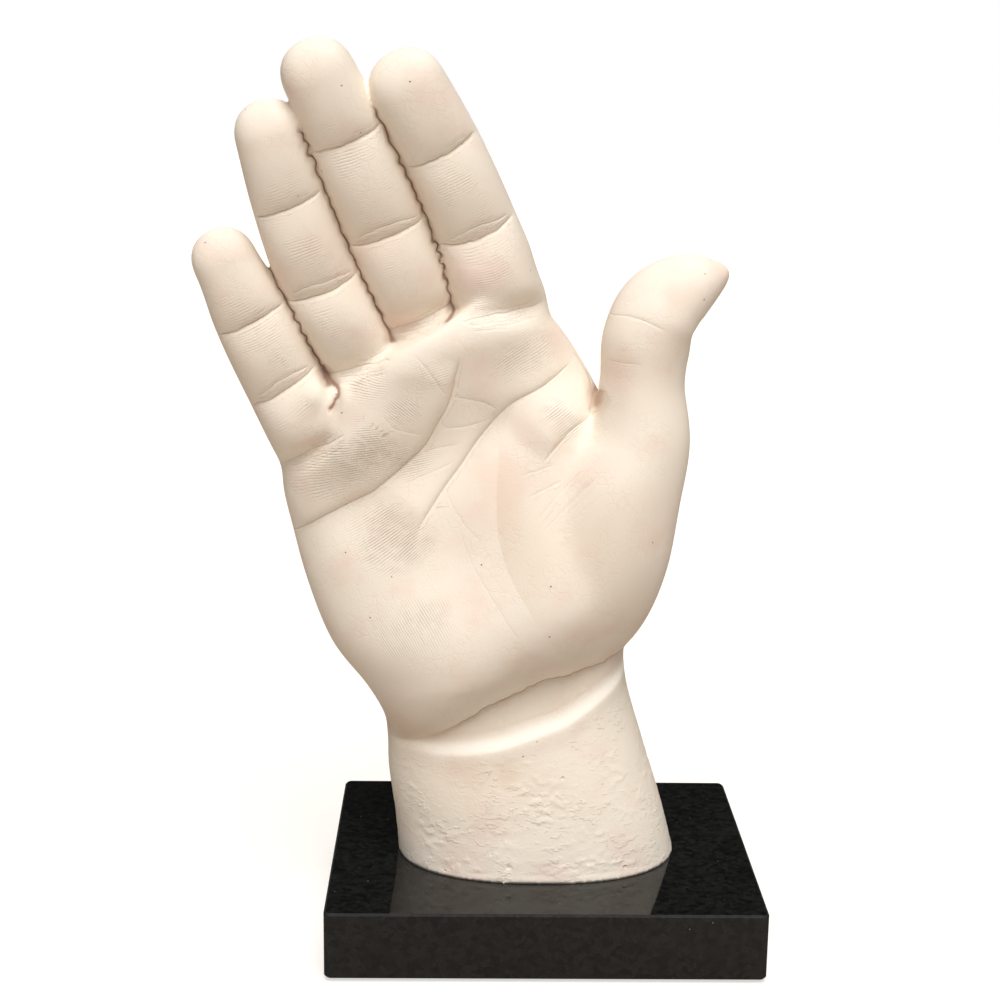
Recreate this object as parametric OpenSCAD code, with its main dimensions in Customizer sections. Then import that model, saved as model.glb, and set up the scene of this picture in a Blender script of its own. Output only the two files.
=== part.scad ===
// Life-cast right hand standing on a polished granite plinth, palm to the front
// Origin at the centre of the underside, +Z up, +X towards the thumb, the palm faces -Y

/* [Plinth] */
// Width of the plinth, left to right
plinth_w = 120; // [112:1:150]
// Depth of the plinth, front to back
plinth_d = 94; // [84:1:120]
// Thickness of the stone
plinth_t = 19; // [17:0.5:30]
// Corner radius of the plinth in plan
plinth_corner_r = 2; // [1.5:0.5:6]
// Width of the eased edge of the stone
arris = 0.6; // [0.3:0.1:1.2]
// Thickness of the felt under the stone
felt_t = 1; // [0.5:0.1:2]
// How far the felt stops short of the stone's edge
felt_inset = 3; // [1:0.5:6]

/* [Forearm and palm] */
// Width of the cut end of the forearm
foot_w = 80; // [74:0.5:86]
// Depth of the cut end of the forearm
foot_d = 56; // [50:0.5:60]
// Width of the wrist at its narrowest
wrist_w = 71; // [67:0.5:74]
// Depth of the wrist
wrist_d = 43; // [40:0.5:46]
// Width of the palm at its widest, without the thumb
palm_w = 96; // [92:0.5:99]
// Thickness of the palm at the roots of the fingers
palm_d = 30; // [28:0.5:32]
// How far the heel of the hand stands out over the wrist
heel = 10; // [4:0.5:11]
// Rise of the pad at the root of the thumb
thenar = 9; // [5:0.5:11]
// Depth of the hollow of the palm
hollow = 4.5; // [1:0.5:6]
// Depth of the fold across the wrist
wrist_fold = 5; // [0:0.5:5.5]

/* [Fingers] */
// Root crease of the index finger: across, to the back, above the plinth
index_root = [-14.5, -1, 158.5]; // [-90:0.5:180]
// Lengths of the index finger's root, middle and end segments
index_seg = [22, 24, 27.5]; // [15:0.5:32]
// Lean of the index finger's segments towards the little finger
index_lean = [17.5, 24, 29]; // [8:0.5:32]
// Lean of the index finger's segments to the front
index_curl = [11, 14, 14]; // [0:0.5:18]
// Widths of the index finger at its root, middle joint, end joint and pad
index_w = [26.5, 23, 21.5, 20.5]; // [15:0.5:27]
// Root crease of the middle finger: across, to the back, above the plinth
middle_root = [-36, -1.5, 155.5]; // [-90:0.5:180]
// Lengths of the middle finger's root, middle and end segments
middle_seg = [25.5, 27, 26.5]; // [15:0.5:32]
// Lean of the middle finger's segments towards the little finger
middle_lean = [20.5, 22, 25]; // [8:0.5:32]
// Lean of the middle finger's segments to the front
middle_curl = [10, 14, 15]; // [0:0.5:18]
// Widths of the middle finger at its root, middle joint, end joint and pad
middle_w = [22, 23, 21.5, 19.5]; // [15:0.5:25]
// Root crease of the ring finger: across, to the back, above the plinth
ring_root = [-51, -1.5, 143.5]; // [-90:0.5:180]
// Lengths of the ring finger's root, middle and end segments
ring_seg = [23.5, 24, 27]; // [15:0.5:32]
// Lean of the ring finger's segments towards the little finger
ring_lean = [28, 20, 14.5]; // [8:0.5:32]
// Lean of the ring finger's segments to the front
ring_curl = [10, 13, 10]; // [0:0.5:18]
// Widths of the ring finger at its root, middle joint, end joint and pad
ring_w = [22.5, 22.5, 20, 18.5]; // [15:0.5:25]
// Root crease of the little finger: across, to the back, above the plinth
little_root = [-64.5, -1, 120.5]; // [-90:0.5:180]
// Lengths of the little finger's root, middle and end segments
little_seg = [19, 20, 25]; // [15:0.5:32]
// Lean of the little finger's segments away from the thumb
little_lean = [25.5, 24, 24.5]; // [8:0.5:32]
// Lean of the little finger's segments to the front
little_curl = [11, 10, 8]; // [0:0.5:18]
// Widths of the little finger at its root, middle joint, end joint and pad
little_w = [23.5, 22, 21, 17.5]; // [15:0.5:25]
// Depth of the creases across the fingers
crease = 0.8; // [0.2:0.1:1.2]
// Rise of the pads between the creases
pad = 2.4; // [0.2:0.1:2.6]

/* [Thumb] */
// Width of the thumb at its end joint
thumb_w = 23; // [20:0.5:25]
// Width of the pad at the root of the thumb
thenar_w = 40; // [36:0.5:42]
// Turn of the thumb's pad from facing across to facing front
thumb_turn = 40; // [25:1:55]

/* [Fixing] */
// Diameter of the threaded rod
rod_d = 8; // [6:1:8]
// Height of the rod above the plinth
rod_up = 52; // [40:1:56]
// Diameter of the hole drilled in the cast
hole_d = 12; // [11:0.5:14]
// Distance of the rod from the plinth's centre towards the little finger
rod_shift = 5; // [0:0.5:8]
// Diameter of the counterbore under the plinth
counterbore_d = 26; // [25:1:34]
// Depth of the counterbore under the plinth
counterbore_t = 11; // [10.5:0.5:12]
// Diameter of the washer
washer_d = 21; // [18:0.5:24]
// Thickness of the washer
washer_t = 1.6; // [1:0.1:2.5]
// Size of the nut across its flats
nut_af = 13; // [13:0.5:16]
// Thickness of the nut
nut_t = 6.5; // [5:0.5:7]

/* [Hidden] */

top = felt_t + plinth_t;
seat = felt_t + counterbore_t;
finger_points = 22;
thumb_points = 28;
palm_points = 52;
// How square the sections are: 1 is an ellipse, less is squarer
finger_square = 0.84;
palm_square = 0.86;
thumb_square = 0.92;
// Powers of the curve that closes a tip, and its length as a share of the half width
dome_out = 2.4;
dome_in = 2.2;
dome_share = 1.05;
// Half width of a crease across a finger
crease_half = 1.3;
// How far up each pad of a finger its highest place is, and the pads' rises against each other
pad_peak = [0.58, 0.5, 0.42];
pad_share = [1, 1, 1.1];
// Middle and reach across of the fold at the wrist, its reach up under the heel, and what it loses going down
fold_x = -3;
fold_reach = 32;
fold_up = 7;
fold_loss = 0.3;
// Half the height of the step at the top edge of the forearm
fold_lip = 2;
plaster = [0.92, 0.86, 0.78];

// A smooth curve through values V set at places S, read at s
function place(S, s, k = 0) = k >= len(S) - 2 || s < S[k + 1] ? k : place(S, s, k + 1);
function slope(S, V, k) =
    let (a = max(k - 1, 0), b = min(k + 1, len(S) - 1)) (V[b] - V[a]) / (S[b] - S[a]);
function curve(S, V, s) =
    let (k = place(S, s), h = S[k + 1] - S[k], t = (s - S[k]) / h)
    V[k] * (2 * t * t * t - 3 * t * t + 1) + slope(S, V, k) * h * (t * t * t - 2 * t * t + t)
    + V[k + 1] * (3 * t * t - 2 * t * t * t) + slope(S, V, k + 1) * h * (t * t * t - t * t);

function unit(v) = v / norm(v);
function bell(x) = exp(-x * x);
function power(x, e) = sign(x) * pow(abs(x), e);

// Rings of points joined into one closed skin, with a point at each end
module skin(rings, first, last) {
    n = len(rings[0]);
    m = len(rings);
    pts = concat([for (r = rings) each r], [first, last]);
    sides = [for (i = [0 : m - 2], j = [0 : n - 1])
        let (a = i * n + j, b = i * n + (j + 1) % n)
        each [[a, b, a + n], [b, b + n, a + n]]];
    bottom = [for (j = [0 : n - 1]) [m * n, (j + 1) % n, j]];
    cap = [for (j = [0 : n - 1]) [m * n + 1, (m - 1) * n + j, (m - 1) * n + (j + 1) % n]];
    polyhedron(pts, concat(sides, bottom, cap), convexity = 8);
}

// Direction of a segment that leans to the little finger and curls to the front
function aim(lean, bend) = [-sin(lean) * cos(bend), -sin(bend), cos(lean) * cos(bend)];

// A finger is its joints, the places of the joints along it, its widths and its segments
inside = 26;
function finger(root, seg, lean, curl, w) =
    let (p1 = root + [0, 0, top],
         p0 = p1 - inside * aim(lean[0] - 8, 0),
         p2 = p1 + seg[0] * aim(lean[0], curl[0]),
         p3 = p2 + seg[1] * aim(lean[1], curl[1]),
         p4 = p3 + seg[2] * aim(lean[2], curl[2]),
         s2 = seg[0], s3 = seg[0] + seg[1], s4 = seg[0] + seg[1] + seg[2])
    [[p0, p1, p2, p3, p4], [-inside, 0, s2, s3, s4], w / 2];

// Share of the full size left at s, where the fingertip closes as a dome
function dome(s, end, r) = pow(max(0, 1 - pow(max(0, (s - end + r) / r), dome_out)), 1 / dome_in);

// Rise of pad i between two creases at a and b: half a sine, drawn up or down to its highest place
function swell(s, a, b, i) =
    s < a || s > b ? 0 : pad_share[i] * sin(180 * pow((s - a) / (b - a), ln(0.5) / ln(pad_peak[i])));

// One ring of a finger at s: half width, depth to the front and depth to the back
function finger_size(F, s) =
    let (S = F[1], w = F[2], end = S[4], r = w[3] * dome_share,
         hw = curve([S[0], 0, S[2], S[3], S[3] + 0.55 * (end - S[3]), end],
                    [w[0] * 0.85, w[0], w[1], w[2], w[3], w[3] * 0.96], s),
         d = dome(s, end, r),
         pads = swell(s, 0, S[2], 0) + swell(s, S[2], S[3], 1) + swell(s, S[3], end, 2),
         cuts = bell(s / crease_half) + bell((s - S[2]) / crease_half) + bell((s - S[3]) / crease_half),
         front = hw * curve([S[0], 0, S[2], S[3], end], [0.6, 0.98, 0.9, 0.8, 0.74], s)
             + pad * pads - crease * cuts,
         knuckles = bell((s - S[2] + 1) / 5) + 0.5 * bell((s - S[3]) / 4),
         back = hw * curve([S[0], 0, S[2], S[3], end], [0.9, 0.9, 0.84, 0.74, 0.5], s) + 0.8 * knuckles)
    [hw * d, front * d, back * d];

// The point on a finger's skin at s and turn a: 0 at the thumb's side, 90 at the front
function finger_skin(F, s, a) =
    let (c = curve(F[1], F[0], s),
         t = unit(curve(F[1], F[0], s + 0.5) - curve(F[1], F[0], s - 0.5)),
         side = unit(cross(t, [0, -1, 0])),
         front = cross(side, t),
         z = finger_size(F, s))
    c + side * z[0] * power(cos(a), finger_square)
    + front * power(sin(a), finger_square) * (sin(a) > 0 ? z[1] : z[2]);

module finger_solid(F) {
    S = F[1];
    end = S[4];
    r = F[2][3] * dome_share;
    stops = concat([S[0], -12, -5],
        [for (c = [0, S[2], S[3]], d = [-1.8, 0, 1.8]) c + d],
        [S[2] * 0.3, S[2] * 0.5, S[2] * 0.7],
        [S[2] + (S[3] - S[2]) * 0.3, S[2] + (S[3] - S[2]) * 0.5, S[2] + (S[3] - S[2]) * 0.7],
        [S[3] + (end - S[3]) * 0.2, S[3] + (end - S[3]) * 0.38],
        [for (g = [0, 22, 40, 55, 68, 80]) end - r + r * sin(g)]);
    order = sorted(stops);
    rings = [for (s = order) [for (i = [0 : finger_points - 1]) finger_skin(F, s, 360 * i / finger_points)]];
    skin(rings, curve(S, F[0], S[0]), curve(S, F[0], end));
}

function sorted(v) = len(v) < 2 ? v :
    let (p = v[floor(len(v) / 2)])
    concat(sorted([for (x = v) if (x < p) x]), [p], sorted([for (x = v) if (x > p) x]));

// A nail lies on the back of a fingertip, a little proud of it
module nail(F) {
    S = F[1];
    long = S[4] - S[3];
    hull() for (s = [S[3] + 0.45 * long, S[4] - 3.2], a = [232, 252, 270, 288, 308])
        translate(finger_skin(F, s, a) + [0, -0.4, 0]) sphere(0.8, $fn = 8);
}

// A knuckle and its tendon on the back of the hand, running to the middle of the wrist
knuckle_at = -20;
knuckle_r = 8;
tendon_r = 4.5;
// Where the tendons gather on the back of the wrist, and how much of their spread they keep there
gather = [-13, 13.5, 62];
gather_share = 0.3;
module tendon(F, rise) {
    k = curve(F[1], F[0], knuckle_at);
    middle = palm_rows[11][0];
    hull() {
        translate([k[0], rise - knuckle_r, k[2]]) scale([1, 1, 1.25]) sphere(knuckle_r, $fn = 20);
        translate([(k[0] - middle) * gather_share, 0, top] + gather) sphere(tendon_r, $fn = 12);
    }
}

// Sections of the forearm and palm, each a row of
// place across, height, tilt, half width, place to the back, front, back
palm_rows = [
    [-1.5, 0, 0, foot_w / 2, 0.5, foot_d / 2 + 0.5, foot_d / 2 - 0.5],
    [-4, 13, 3.5, foot_w / 2 - 1.5, 0.5, foot_d / 2 - 1.5, foot_d / 2 - 2],
    [-7, 24.5, 10, wrist_w / 2 + 1.5, 0.5, foot_d / 2 - 3, foot_d / 2 - 4],
    [-10, 36.5, 17, wrist_w / 2 + 0.5, 0.5, wrist_d / 2 + 1.5, wrist_d / 2 + 0.5],
    [-11, 46, 18.5, wrist_w / 2, 0, wrist_d / 2 - 0.5, wrist_d / 2 - 1],
    [-11.5, 53, 17.5, wrist_w / 2 + 0.5, 0, wrist_d / 2 - 1, wrist_d / 2 - 2],
    [-13, 61, 14.5, wrist_w / 2 + 3.5, -0.5, wrist_d / 2, wrist_d / 2 - 3],
    [-17, 73.5, 12.5, palm_w / 2 - 3.5, -1, wrist_d / 2 + 0.5, palm_d / 2 + 2],
    [-20.5, 89.5, 10.5, palm_w / 2 - 0.5, -1, palm_d / 2 + 4.5, palm_d / 2 + 1],
    [-24.5, 107, 11.5, palm_w / 2, -1, palm_d / 2 + 3, palm_d / 2],
    [-30, 122, 15, palm_w / 2 - 2.5, -0.5, palm_d / 2 + 3, palm_d / 2 - 1.5],
    [-34, 134.5, 22, palm_w / 2 - 7, 0, palm_d / 2 + 3.5, palm_d / 2 - 3],
    [-35.5, 144, 28, palm_w / 2 - 13.5, 0, palm_d / 2 + 3.5, palm_d / 2 - 5.5],
    [-35.5, 151, 31, palm_w / 2 - 21, 0, 16.5, 7]];
palm_at = [for (k = [0 : len(palm_rows) - 1]) k];

// Pads of the palm, each a row of place across, height, reach across, reach up, turn, rise
mounds = [
    [-40, 76, 18, 20, 14, 3],
    [7, 92, 20, 24, -12, thenar],
    [1, 130, 11, 9, -30, 4],
    [-62, 95, 9, 10, 0, 1.5],
    [-55, 121, 13, 9, 35, 2],
    [-36, 150, 12, 9, 25, 3],
    [-11, 157, 15, 9, 20, 4.5]];
// Heights across the hand of the hollow's floor, the edge under the heel and the top edge of the forearm
across = [-75, -57, -40, -28, -15, -2.5, 8, 30];
hollow_at = [90, 103, 115, 121, 128, 137, 144, 156];
heel_at = [33, 34, 36.5, 40.5, 48, 54.5, 57, 63];
arm_at = [32, 33, 35.5, 36.5, 38.5, 42.5, 47, 61];
hollow_reach = 13;
// Share of the heel's rise across the hand, the height over which it comes out there, and its reach upwards
heel_share = [0.9, 0.9, 0.95, 1, 1.05, 1, 0.9, 0.8];
heel_turn = [6, 6, 7, 8, 10, 12, 14, 14];
heel_reach = 30;

function step(x, low, high) = let (t = min(1, max(0, (x - low) / (high - low)))) t * t * (3 - 2 * t);
function mound(m, x, z) =
    let (u = ((x - m[0]) * cos(m[4]) + (z - m[1]) * sin(m[4])) / m[2],
         v = ((z - m[1]) * cos(m[4]) - (x - m[0]) * sin(m[4])) / m[3])
    m[5] * exp(-u * u - v * v);

// Rise of the palm's front at a place: its pads, the heel over the wrist, the hollow and the wrist's fold
function rise(x, z) =
    let (over = [for (m = mounds) mound(m, x, z)],
         edge = min(across[7], max(across[0], x)),
         heel_z = curve(across, heel_at, edge),
         arm_z = curve(across, arm_at, edge),
         above = max(0, z - heel_z),
         turned = 1 - exp(-above / curve(across, heel_turn, edge)),
         down = min(1, max(0, (heel_z - z) / max(heel_z - arm_z, 2))),
         fold = exp(-above / fold_up) * (1 - fold_loss * down) * step(z - arm_z, -fold_lip, fold_lip))
    over * [for (m = mounds) 1]
    + heel * curve(across, heel_share, edge) * turned * bell(above / heel_reach)
    - hollow * bell((z - curve(across, hollow_at, edge)) / hollow_reach)
    - wrist_fold * fold * exp(-pow((x - fold_x) / fold_reach, 4));

function palm_skin(k, a) =
    let (p = curve(palm_at, palm_rows, k),
         u = power(cos(a), palm_square),
         v = pow(abs(sin(a)), palm_square),
         x = p[0] + cos(p[2]) * u * p[3],
         z = p[1] + sin(p[2]) * u * p[3],
         y = sin(a) > 0 ? v * p[5] + pow(v, 0.7) * rise(x, z) : -v * p[6])
    [x, p[4] - y, top + z];

module palm_solid() {
    last = len(palm_rows) - 1;
    wrist = [for (k = [3.1 : 0.2 : 6.1]) k];
    stops = concat([0, 0.5, 1, 1.5, 2, 2.5, 2.8], wrist, [for (k = [6.5 : 0.5 : last]) k]);
    rings = [for (k = stops) [for (i = [0 : palm_points - 1]) palm_skin(k, 360 * i / palm_points)]];
    end = palm_rows[last];
    skin(rings, [palm_rows[0][0], palm_rows[0][4], top], [end[0] - 1, end[4], top + end[1] + 4]);
}

// Sections of the thumb and its root pad, each a row of
// place across, to the back, above the plinth, half width, depth to the pad, depth to the nail
thumb_rows = [
    [-2, 3, 48, thenar_w / 2 - 9, 11, 11],
    [3.5, 0, 62, thenar_w / 2 - 4.5, 13.5, 14.5],
    [10, -5.5, 78, thenar_w / 2 - 0.5, 20.5, 17.5],
    [15, -8, 94, thenar_w / 2, 21, 17.5],
    [20, -9.5, 109, thenar_w / 2 - 3, 19, 15],
    [24, -10, 123, thenar_w / 2 - 6, 14, 13.5],
    [24.5, -10, 138, thumb_w / 2 - 0.5, 11.5, 11.5],
    [25.5, -9.5, 149.5, thumb_w / 2, 12, 11.5],
    [29, -9, 158, thumb_w / 2 + 0.5, 10.5, 7],
    [36, -8.5, 164, thumb_w / 2 - 2, 8.5, 4],
    [47, -7.5, 168.5, thumb_w / 2 - 7, 5, 4]];
thumb_at = [for (k = [0 : len(thumb_rows) - 1]) k];
thumb_last = len(thumb_rows) - 1;

function thumb_skin(k, a) =
    let (p = curve(thumb_at, thumb_rows, k),
         q = curve(thumb_at, thumb_rows, k + 0.05) - curve(thumb_at, thumb_rows, k - 0.05),
         t = unit([q[0], q[1], q[2]]),
         pads = [-cos(thumb_turn), -sin(thumb_turn), 0],
         side = unit(cross(t, pads)),
         front = cross(side, t),
         d = dome(k, thumb_last, 1))
    [p[0], p[1], p[2] + top] + side * p[3] * d * power(cos(a), thumb_square)
    + front * power(sin(a), thumb_square) * d * (sin(a) > 0 ? p[4] : p[5]);

module thumb_solid() {
    stops = concat([for (k = [0 : 0.4 : 6]) k], [6.33, 6.67, 7, 7.33, 7.67, 8, 8.33, 8.67, 9],
        [for (g = [24, 42, 57, 70, 81]) thumb_last - 1 + sin(g)]);
    rings = [for (k = stops) [for (i = [0 : thumb_points - 1]) thumb_skin(k, 360 * i / thumb_points)]];
    end = thumb_rows[thumb_last];
    skin(rings, [thumb_rows[0][0], thumb_rows[0][1], thumb_rows[0][2] + top], [end[0], end[1], end[2] + top]);
}

module thumb_nail() {
    hull() for (k = [8.45, 9.75], a = [232, 252, 270, 288, 308])
        translate(thumb_skin(k, a)) sphere(0.7, $fn = 8);
}

fingers = [
    finger(index_root, index_seg, index_lean, index_curl, index_w),
    finger(middle_root, middle_seg, middle_lean, middle_curl, middle_w),
    finger(ring_root, ring_seg, ring_lean, ring_curl, ring_w),
    finger(little_root, little_seg, little_lean, little_curl, little_w)];
// How far back the knuckle of each finger stands
knuckle_rise = [15, 16, 15, 13];

// The cast: forearm, palm, thumb and fingers in one pour, drilled from below for the rod
module hand_cast() {
    color(plaster) difference() {
        union() {
            palm_solid();
            thumb_solid();
            thumb_nail();
            for (i = [0 : 3]) {
                finger_solid(fingers[i]);
                nail(fingers[i]);
                tendon(fingers[i], knuckle_rise[i]);
            }
        }
        translate([-rod_shift, 0, top - 1]) cylinder(h = rod_up + 3.2, d = hole_d, $fn = 48);
    }
}

// A slab with rounded corners and both long arrises eased
module slab(w, d, t, r, e) {
    hull() for (x = [-1, 1], y = [-1, 1]) translate([x * (w / 2 - r), y * (d / 2 - r), 0]) {
        translate([0, 0, e]) cylinder(h = t - 2 * e, r = r, $fn = 24);
        cylinder(h = t, r = r - e, $fn = 24);
    }
}

module granite_plinth() {
    color([0.09, 0.09, 0.09]) difference() {
        translate([0, 0, felt_t]) slab(plinth_w, plinth_d, plinth_t, plinth_corner_r, arris);
        translate([-rod_shift, 0, 0]) cylinder(h = top + 1, d = rod_d + 1, $fn = 48);
        translate([-rod_shift, 0, felt_t - 1]) cylinder(h = counterbore_t + 1, d = counterbore_d, $fn = 64);
    }
}

module anchor_rod() {
    color([0.62, 0.62, 0.6]) translate([-rod_shift, 0, felt_t + 1])
        cylinder(h = plinth_t - 1 + rod_up, d = rod_d, $fn = 48);
}

// Resin fills the drilled hole round the rod and over its end
module anchor_resin() {
    color([0.75, 0.7, 0.55]) translate([-rod_shift, 0, top]) rotate_extrude($fn = 48) polygon([
        [rod_d / 2, 0], [hole_d / 2 - 0.1, 0], [hole_d / 2 - 0.1, rod_up + 2], [0, rod_up + 2],
        [0, rod_up], [rod_d / 2, rod_up]]);
}

module rod_washer() {
    color([0.7, 0.7, 0.68]) translate([-rod_shift, 0, seat - washer_t]) difference() {
        cylinder(h = washer_t, d = washer_d, $fn = 64);
        translate([0, 0, -1]) cylinder(h = washer_t + 2, d = rod_d + 0.4, $fn = 48);
    }
}

module rod_nut() {
    color([0.66, 0.66, 0.64]) translate([-rod_shift, 0, seat - washer_t - nut_t]) difference() {
        cylinder(h = nut_t, d = nut_af / cos(30), $fn = 6);
        translate([0, 0, -1]) cylinder(h = nut_t + 2, d = rod_d + 0.1, $fn = 48);
    }
}

module felt_sheet() {
    r = plinth_corner_r + 2;
    w = plinth_w - 2 * felt_inset;
    d = plinth_d - 2 * felt_inset;
    color([0.1, 0.12, 0.1]) union() {
        translate([-w / 2 + r, -d / 2, 0]) cube([w - 2 * r, d, felt_t]);
        translate([-w / 2, -d / 2 + r, 0]) cube([w, d - 2 * r, felt_t]);
        for (x = [-1, 1], y = [-1, 1])
            translate([x * (w / 2 - r), y * (d / 2 - r), 0]) cylinder(h = felt_t, r = r, $fn = 32);
    }
}

hand_cast();
granite_plinth();
anchor_rod();
anchor_resin();
rod_washer();
rod_nut();
felt_sheet();
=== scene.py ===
import math

import bpy
import numpy as np
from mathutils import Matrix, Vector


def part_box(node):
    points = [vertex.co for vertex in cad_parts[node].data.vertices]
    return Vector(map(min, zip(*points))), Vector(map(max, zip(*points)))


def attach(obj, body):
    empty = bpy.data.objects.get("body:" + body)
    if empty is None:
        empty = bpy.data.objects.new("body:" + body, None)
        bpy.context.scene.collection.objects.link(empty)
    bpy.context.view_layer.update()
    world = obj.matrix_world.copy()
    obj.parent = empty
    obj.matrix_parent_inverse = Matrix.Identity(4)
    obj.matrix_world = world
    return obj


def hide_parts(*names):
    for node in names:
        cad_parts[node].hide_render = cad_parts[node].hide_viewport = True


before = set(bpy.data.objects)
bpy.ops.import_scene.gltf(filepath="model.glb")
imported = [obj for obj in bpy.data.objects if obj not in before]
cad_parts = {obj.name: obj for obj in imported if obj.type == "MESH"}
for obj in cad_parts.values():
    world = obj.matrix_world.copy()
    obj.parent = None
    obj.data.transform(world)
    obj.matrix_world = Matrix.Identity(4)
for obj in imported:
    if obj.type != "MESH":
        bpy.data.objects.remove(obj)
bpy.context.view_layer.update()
# A millimetre in metres, and a metre in millimetres: textures have so many cells in a metre
MM, METRE = 0.001, 1000

# Camera, turned in degrees, with its lens in mm
CAMERA_AT = (-0.0233, -0.4898, 0.2386)
CAMERA_YAW = 1.177
CAMERA_PITCH = 13.276
CAMERA_ROLL = 0.804
CAMERA_LENS = 64.75
# Lights: height, turn from the front and width as seen, in degrees, and strength
LIGHTS = {
    "key": (63, -6, 40, 3.3),
    "front": (10, 0, 80, 0.72),
    "back": (62, 190, 50, 0.8)}
# Strength of the white room as soft light, as the polished stone mirrors it, and behind the object
ROOM_SOFT, ROOM_MIRRORED, ROOM_SEEN = 0.1, 0.02, 1.0
FLOOR_HALF, FLOOR_GLOW = 6.0, 0.62
# Settings that many shader nodes share
MULTIPLY = {"operation": "MULTIPLY"}
MULTIPLY_ADD = {"operation": "MULTIPLY_ADD"}
MAXIMUM = {"operation": "MAXIMUM"}
SMOOTH = {"interpolation_type": "SMOOTHSTEP"}
COLOURS = {"data_type": "RGBA"}
# Heights of the plaster's fine forms in mm, and the shares of painted shade in them
FORM_HEIGHTS = dict(ridge=-0.28, line=-0.14, hole=-0.3, grain=0.055, fine=-0.03, rough=0.09, pit=-0.25)
FORM_SHADE = dict(ridge=0.24, line=0.34, fine=0.05)


def linear(hex_colour):
    """sRGB hex to linear red, green, blue and alpha."""
    values = [int(hex_colour[i:i + 2], 16) / 255 for i in (1, 3, 5)]
    return [v / 12.92 if v <= 0.04045 else ((v + 0.055) / 1.055) ** 2.4 for v in values] + [1.0]


def node(tree, kind, settings=None, **inputs):
    """One shader node: its settings, then its inputs by socket name, as a value or another node's output."""
    n = tree.nodes.new(kind)
    for key, value in (settings or {}).items():
        setattr(n, key, value)
    for key, value in inputs.items():
        name = key.replace("_", " ")
        socket = n.inputs[int(key[2:])] if key.startswith("in") and key[2:].isdigit() else n.inputs[name]
        if isinstance(value, bpy.types.Node):
            value = value.outputs[0]
        if isinstance(value, bpy.types.NodeSocket):
            tree.links.new(value, socket)
        else:
            socket.default_value = value
    return n


def material(name):
    """An empty node material and its output node."""
    m = bpy.data.materials.new(name)
    m.use_nodes = True
    m.node_tree.nodes.clear()
    return m, m.node_tree, m.node_tree.nodes.new("ShaderNodeOutputMaterial")


def set_camera():
    """The camera from its yaw, pitch and roll: it looks along +Y, turned right by yaw and down by pitch."""
    yaw, pitch, roll = (math.radians(a) for a in (CAMERA_YAW, CAMERA_PITCH, CAMERA_ROLL))
    ahead = np.array([math.sin(yaw) * math.cos(pitch), math.cos(yaw) * math.cos(pitch), -math.sin(pitch)])
    right = np.array([math.cos(yaw), -math.sin(yaw), 0.0])
    up = np.cross(right, ahead)
    side = right * math.cos(roll) + up * math.sin(roll)
    top = up * math.cos(roll) - right * math.sin(roll)
    data = bpy.data.cameras.new("view")
    data.lens = CAMERA_LENS
    data.sensor_width = 36
    data.sensor_fit = "HORIZONTAL"
    data.clip_start = 0.01
    camera = bpy.data.objects.new("view", data)
    turned = np.eye(4)
    turned[:3, 0], turned[:3, 1], turned[:3, 2], turned[:3, 3] = side, top, -ahead, CAMERA_AT
    camera.matrix_world = turned.T
    bpy.context.scene.collection.objects.link(camera)
    bpy.context.scene.camera = camera


def set_lights():
    """Wide suns are the studio's soft boxes: one high in front, one low in front, one behind. The room is
    white to the camera, and dark where the polished stone mirrors it, as in the photograph."""
    for name, (height, turn, spread, strength) in LIGHTS.items():
        data = bpy.data.lights.new(name, "SUN")
        data.energy = strength
        data.angle = math.radians(spread)
        lamp = bpy.data.objects.new(name, data)
        lamp.rotation_euler = (math.radians(90 - height), 0, math.radians(-turn))
        bpy.context.scene.collection.objects.link(lamp)
    world = bpy.data.worlds.new("studio")
    bpy.context.scene.world = world
    world.use_nodes = True
    tree = world.node_tree
    tree.nodes.clear()
    path = node(tree, "ShaderNodeLightPath")
    soft, mirrored, seen = [node(tree, "ShaderNodeBackground", Color=linear("#ffffff"), Strength=strength)
                            for strength in (ROOM_SOFT, ROOM_MIRRORED, ROOM_SEEN)]
    mix = node(tree, "ShaderNodeMixShader", in0=path.outputs["Is Glossy Ray"], in1=soft, in2=mirrored)
    mix = node(tree, "ShaderNodeMixShader", in0=path.outputs["Is Camera Ray"], in1=mix, in2=seen)
    node(tree, "ShaderNodeOutputWorld", Surface=mix)


def set_floor():
    """A plain pale floor that reads white to the camera and keeps the object's shadow."""
    mesh = bpy.data.meshes.new("floor")
    corners = [(x * FLOOR_HALF, y * FLOOR_HALF, 0) for x, y in ((-1, -1), (1, -1), (1, 1), (-1, 1))]
    mesh.from_pydata(corners, [], [(0, 1, 2, 3)])
    floor = bpy.data.objects.new("floor", mesh)
    bpy.context.scene.collection.objects.link(floor)
    m, tree, out = material("pale_floor")
    seen = node(tree, "ShaderNodeLightPath").outputs["Is Camera Ray"]
    paint = node(tree, "ShaderNodeBsdfDiffuse", Color=linear("#b6ab9f"))
    glow = node(tree, "ShaderNodeEmission", Color=linear("#ffffff"), Strength=FLOOR_GLOW)
    none = node(tree, "ShaderNodeEmission", Color=linear("#000000"), Strength=0.0)
    lift = node(tree, "ShaderNodeMixShader", in0=seen, in1=none, in2=glow)
    both = node(tree, "ShaderNodeAddShader", in0=paint, in1=lift)
    tree.links.new(both.outputs[0], out.inputs["Surface"])
    mesh.materials.append(m)


# The hand's sizes in mm, as in the CAD: across, to the back, and up from the plinth's top
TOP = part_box("hand_cast")[0][2] / MM
# Size of the fused skin's quads, rounds of smoothing over it and over its seams, its triangles in the end,
# and the height below which the foot is pressed flat
SKIN_STEP, SKIN_ROUNDS, SEAM_ROUNDS, SKIN_TRIANGLES, FOOT_FLAT = 0.5, 6, 60, 196000, 0.35
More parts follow.
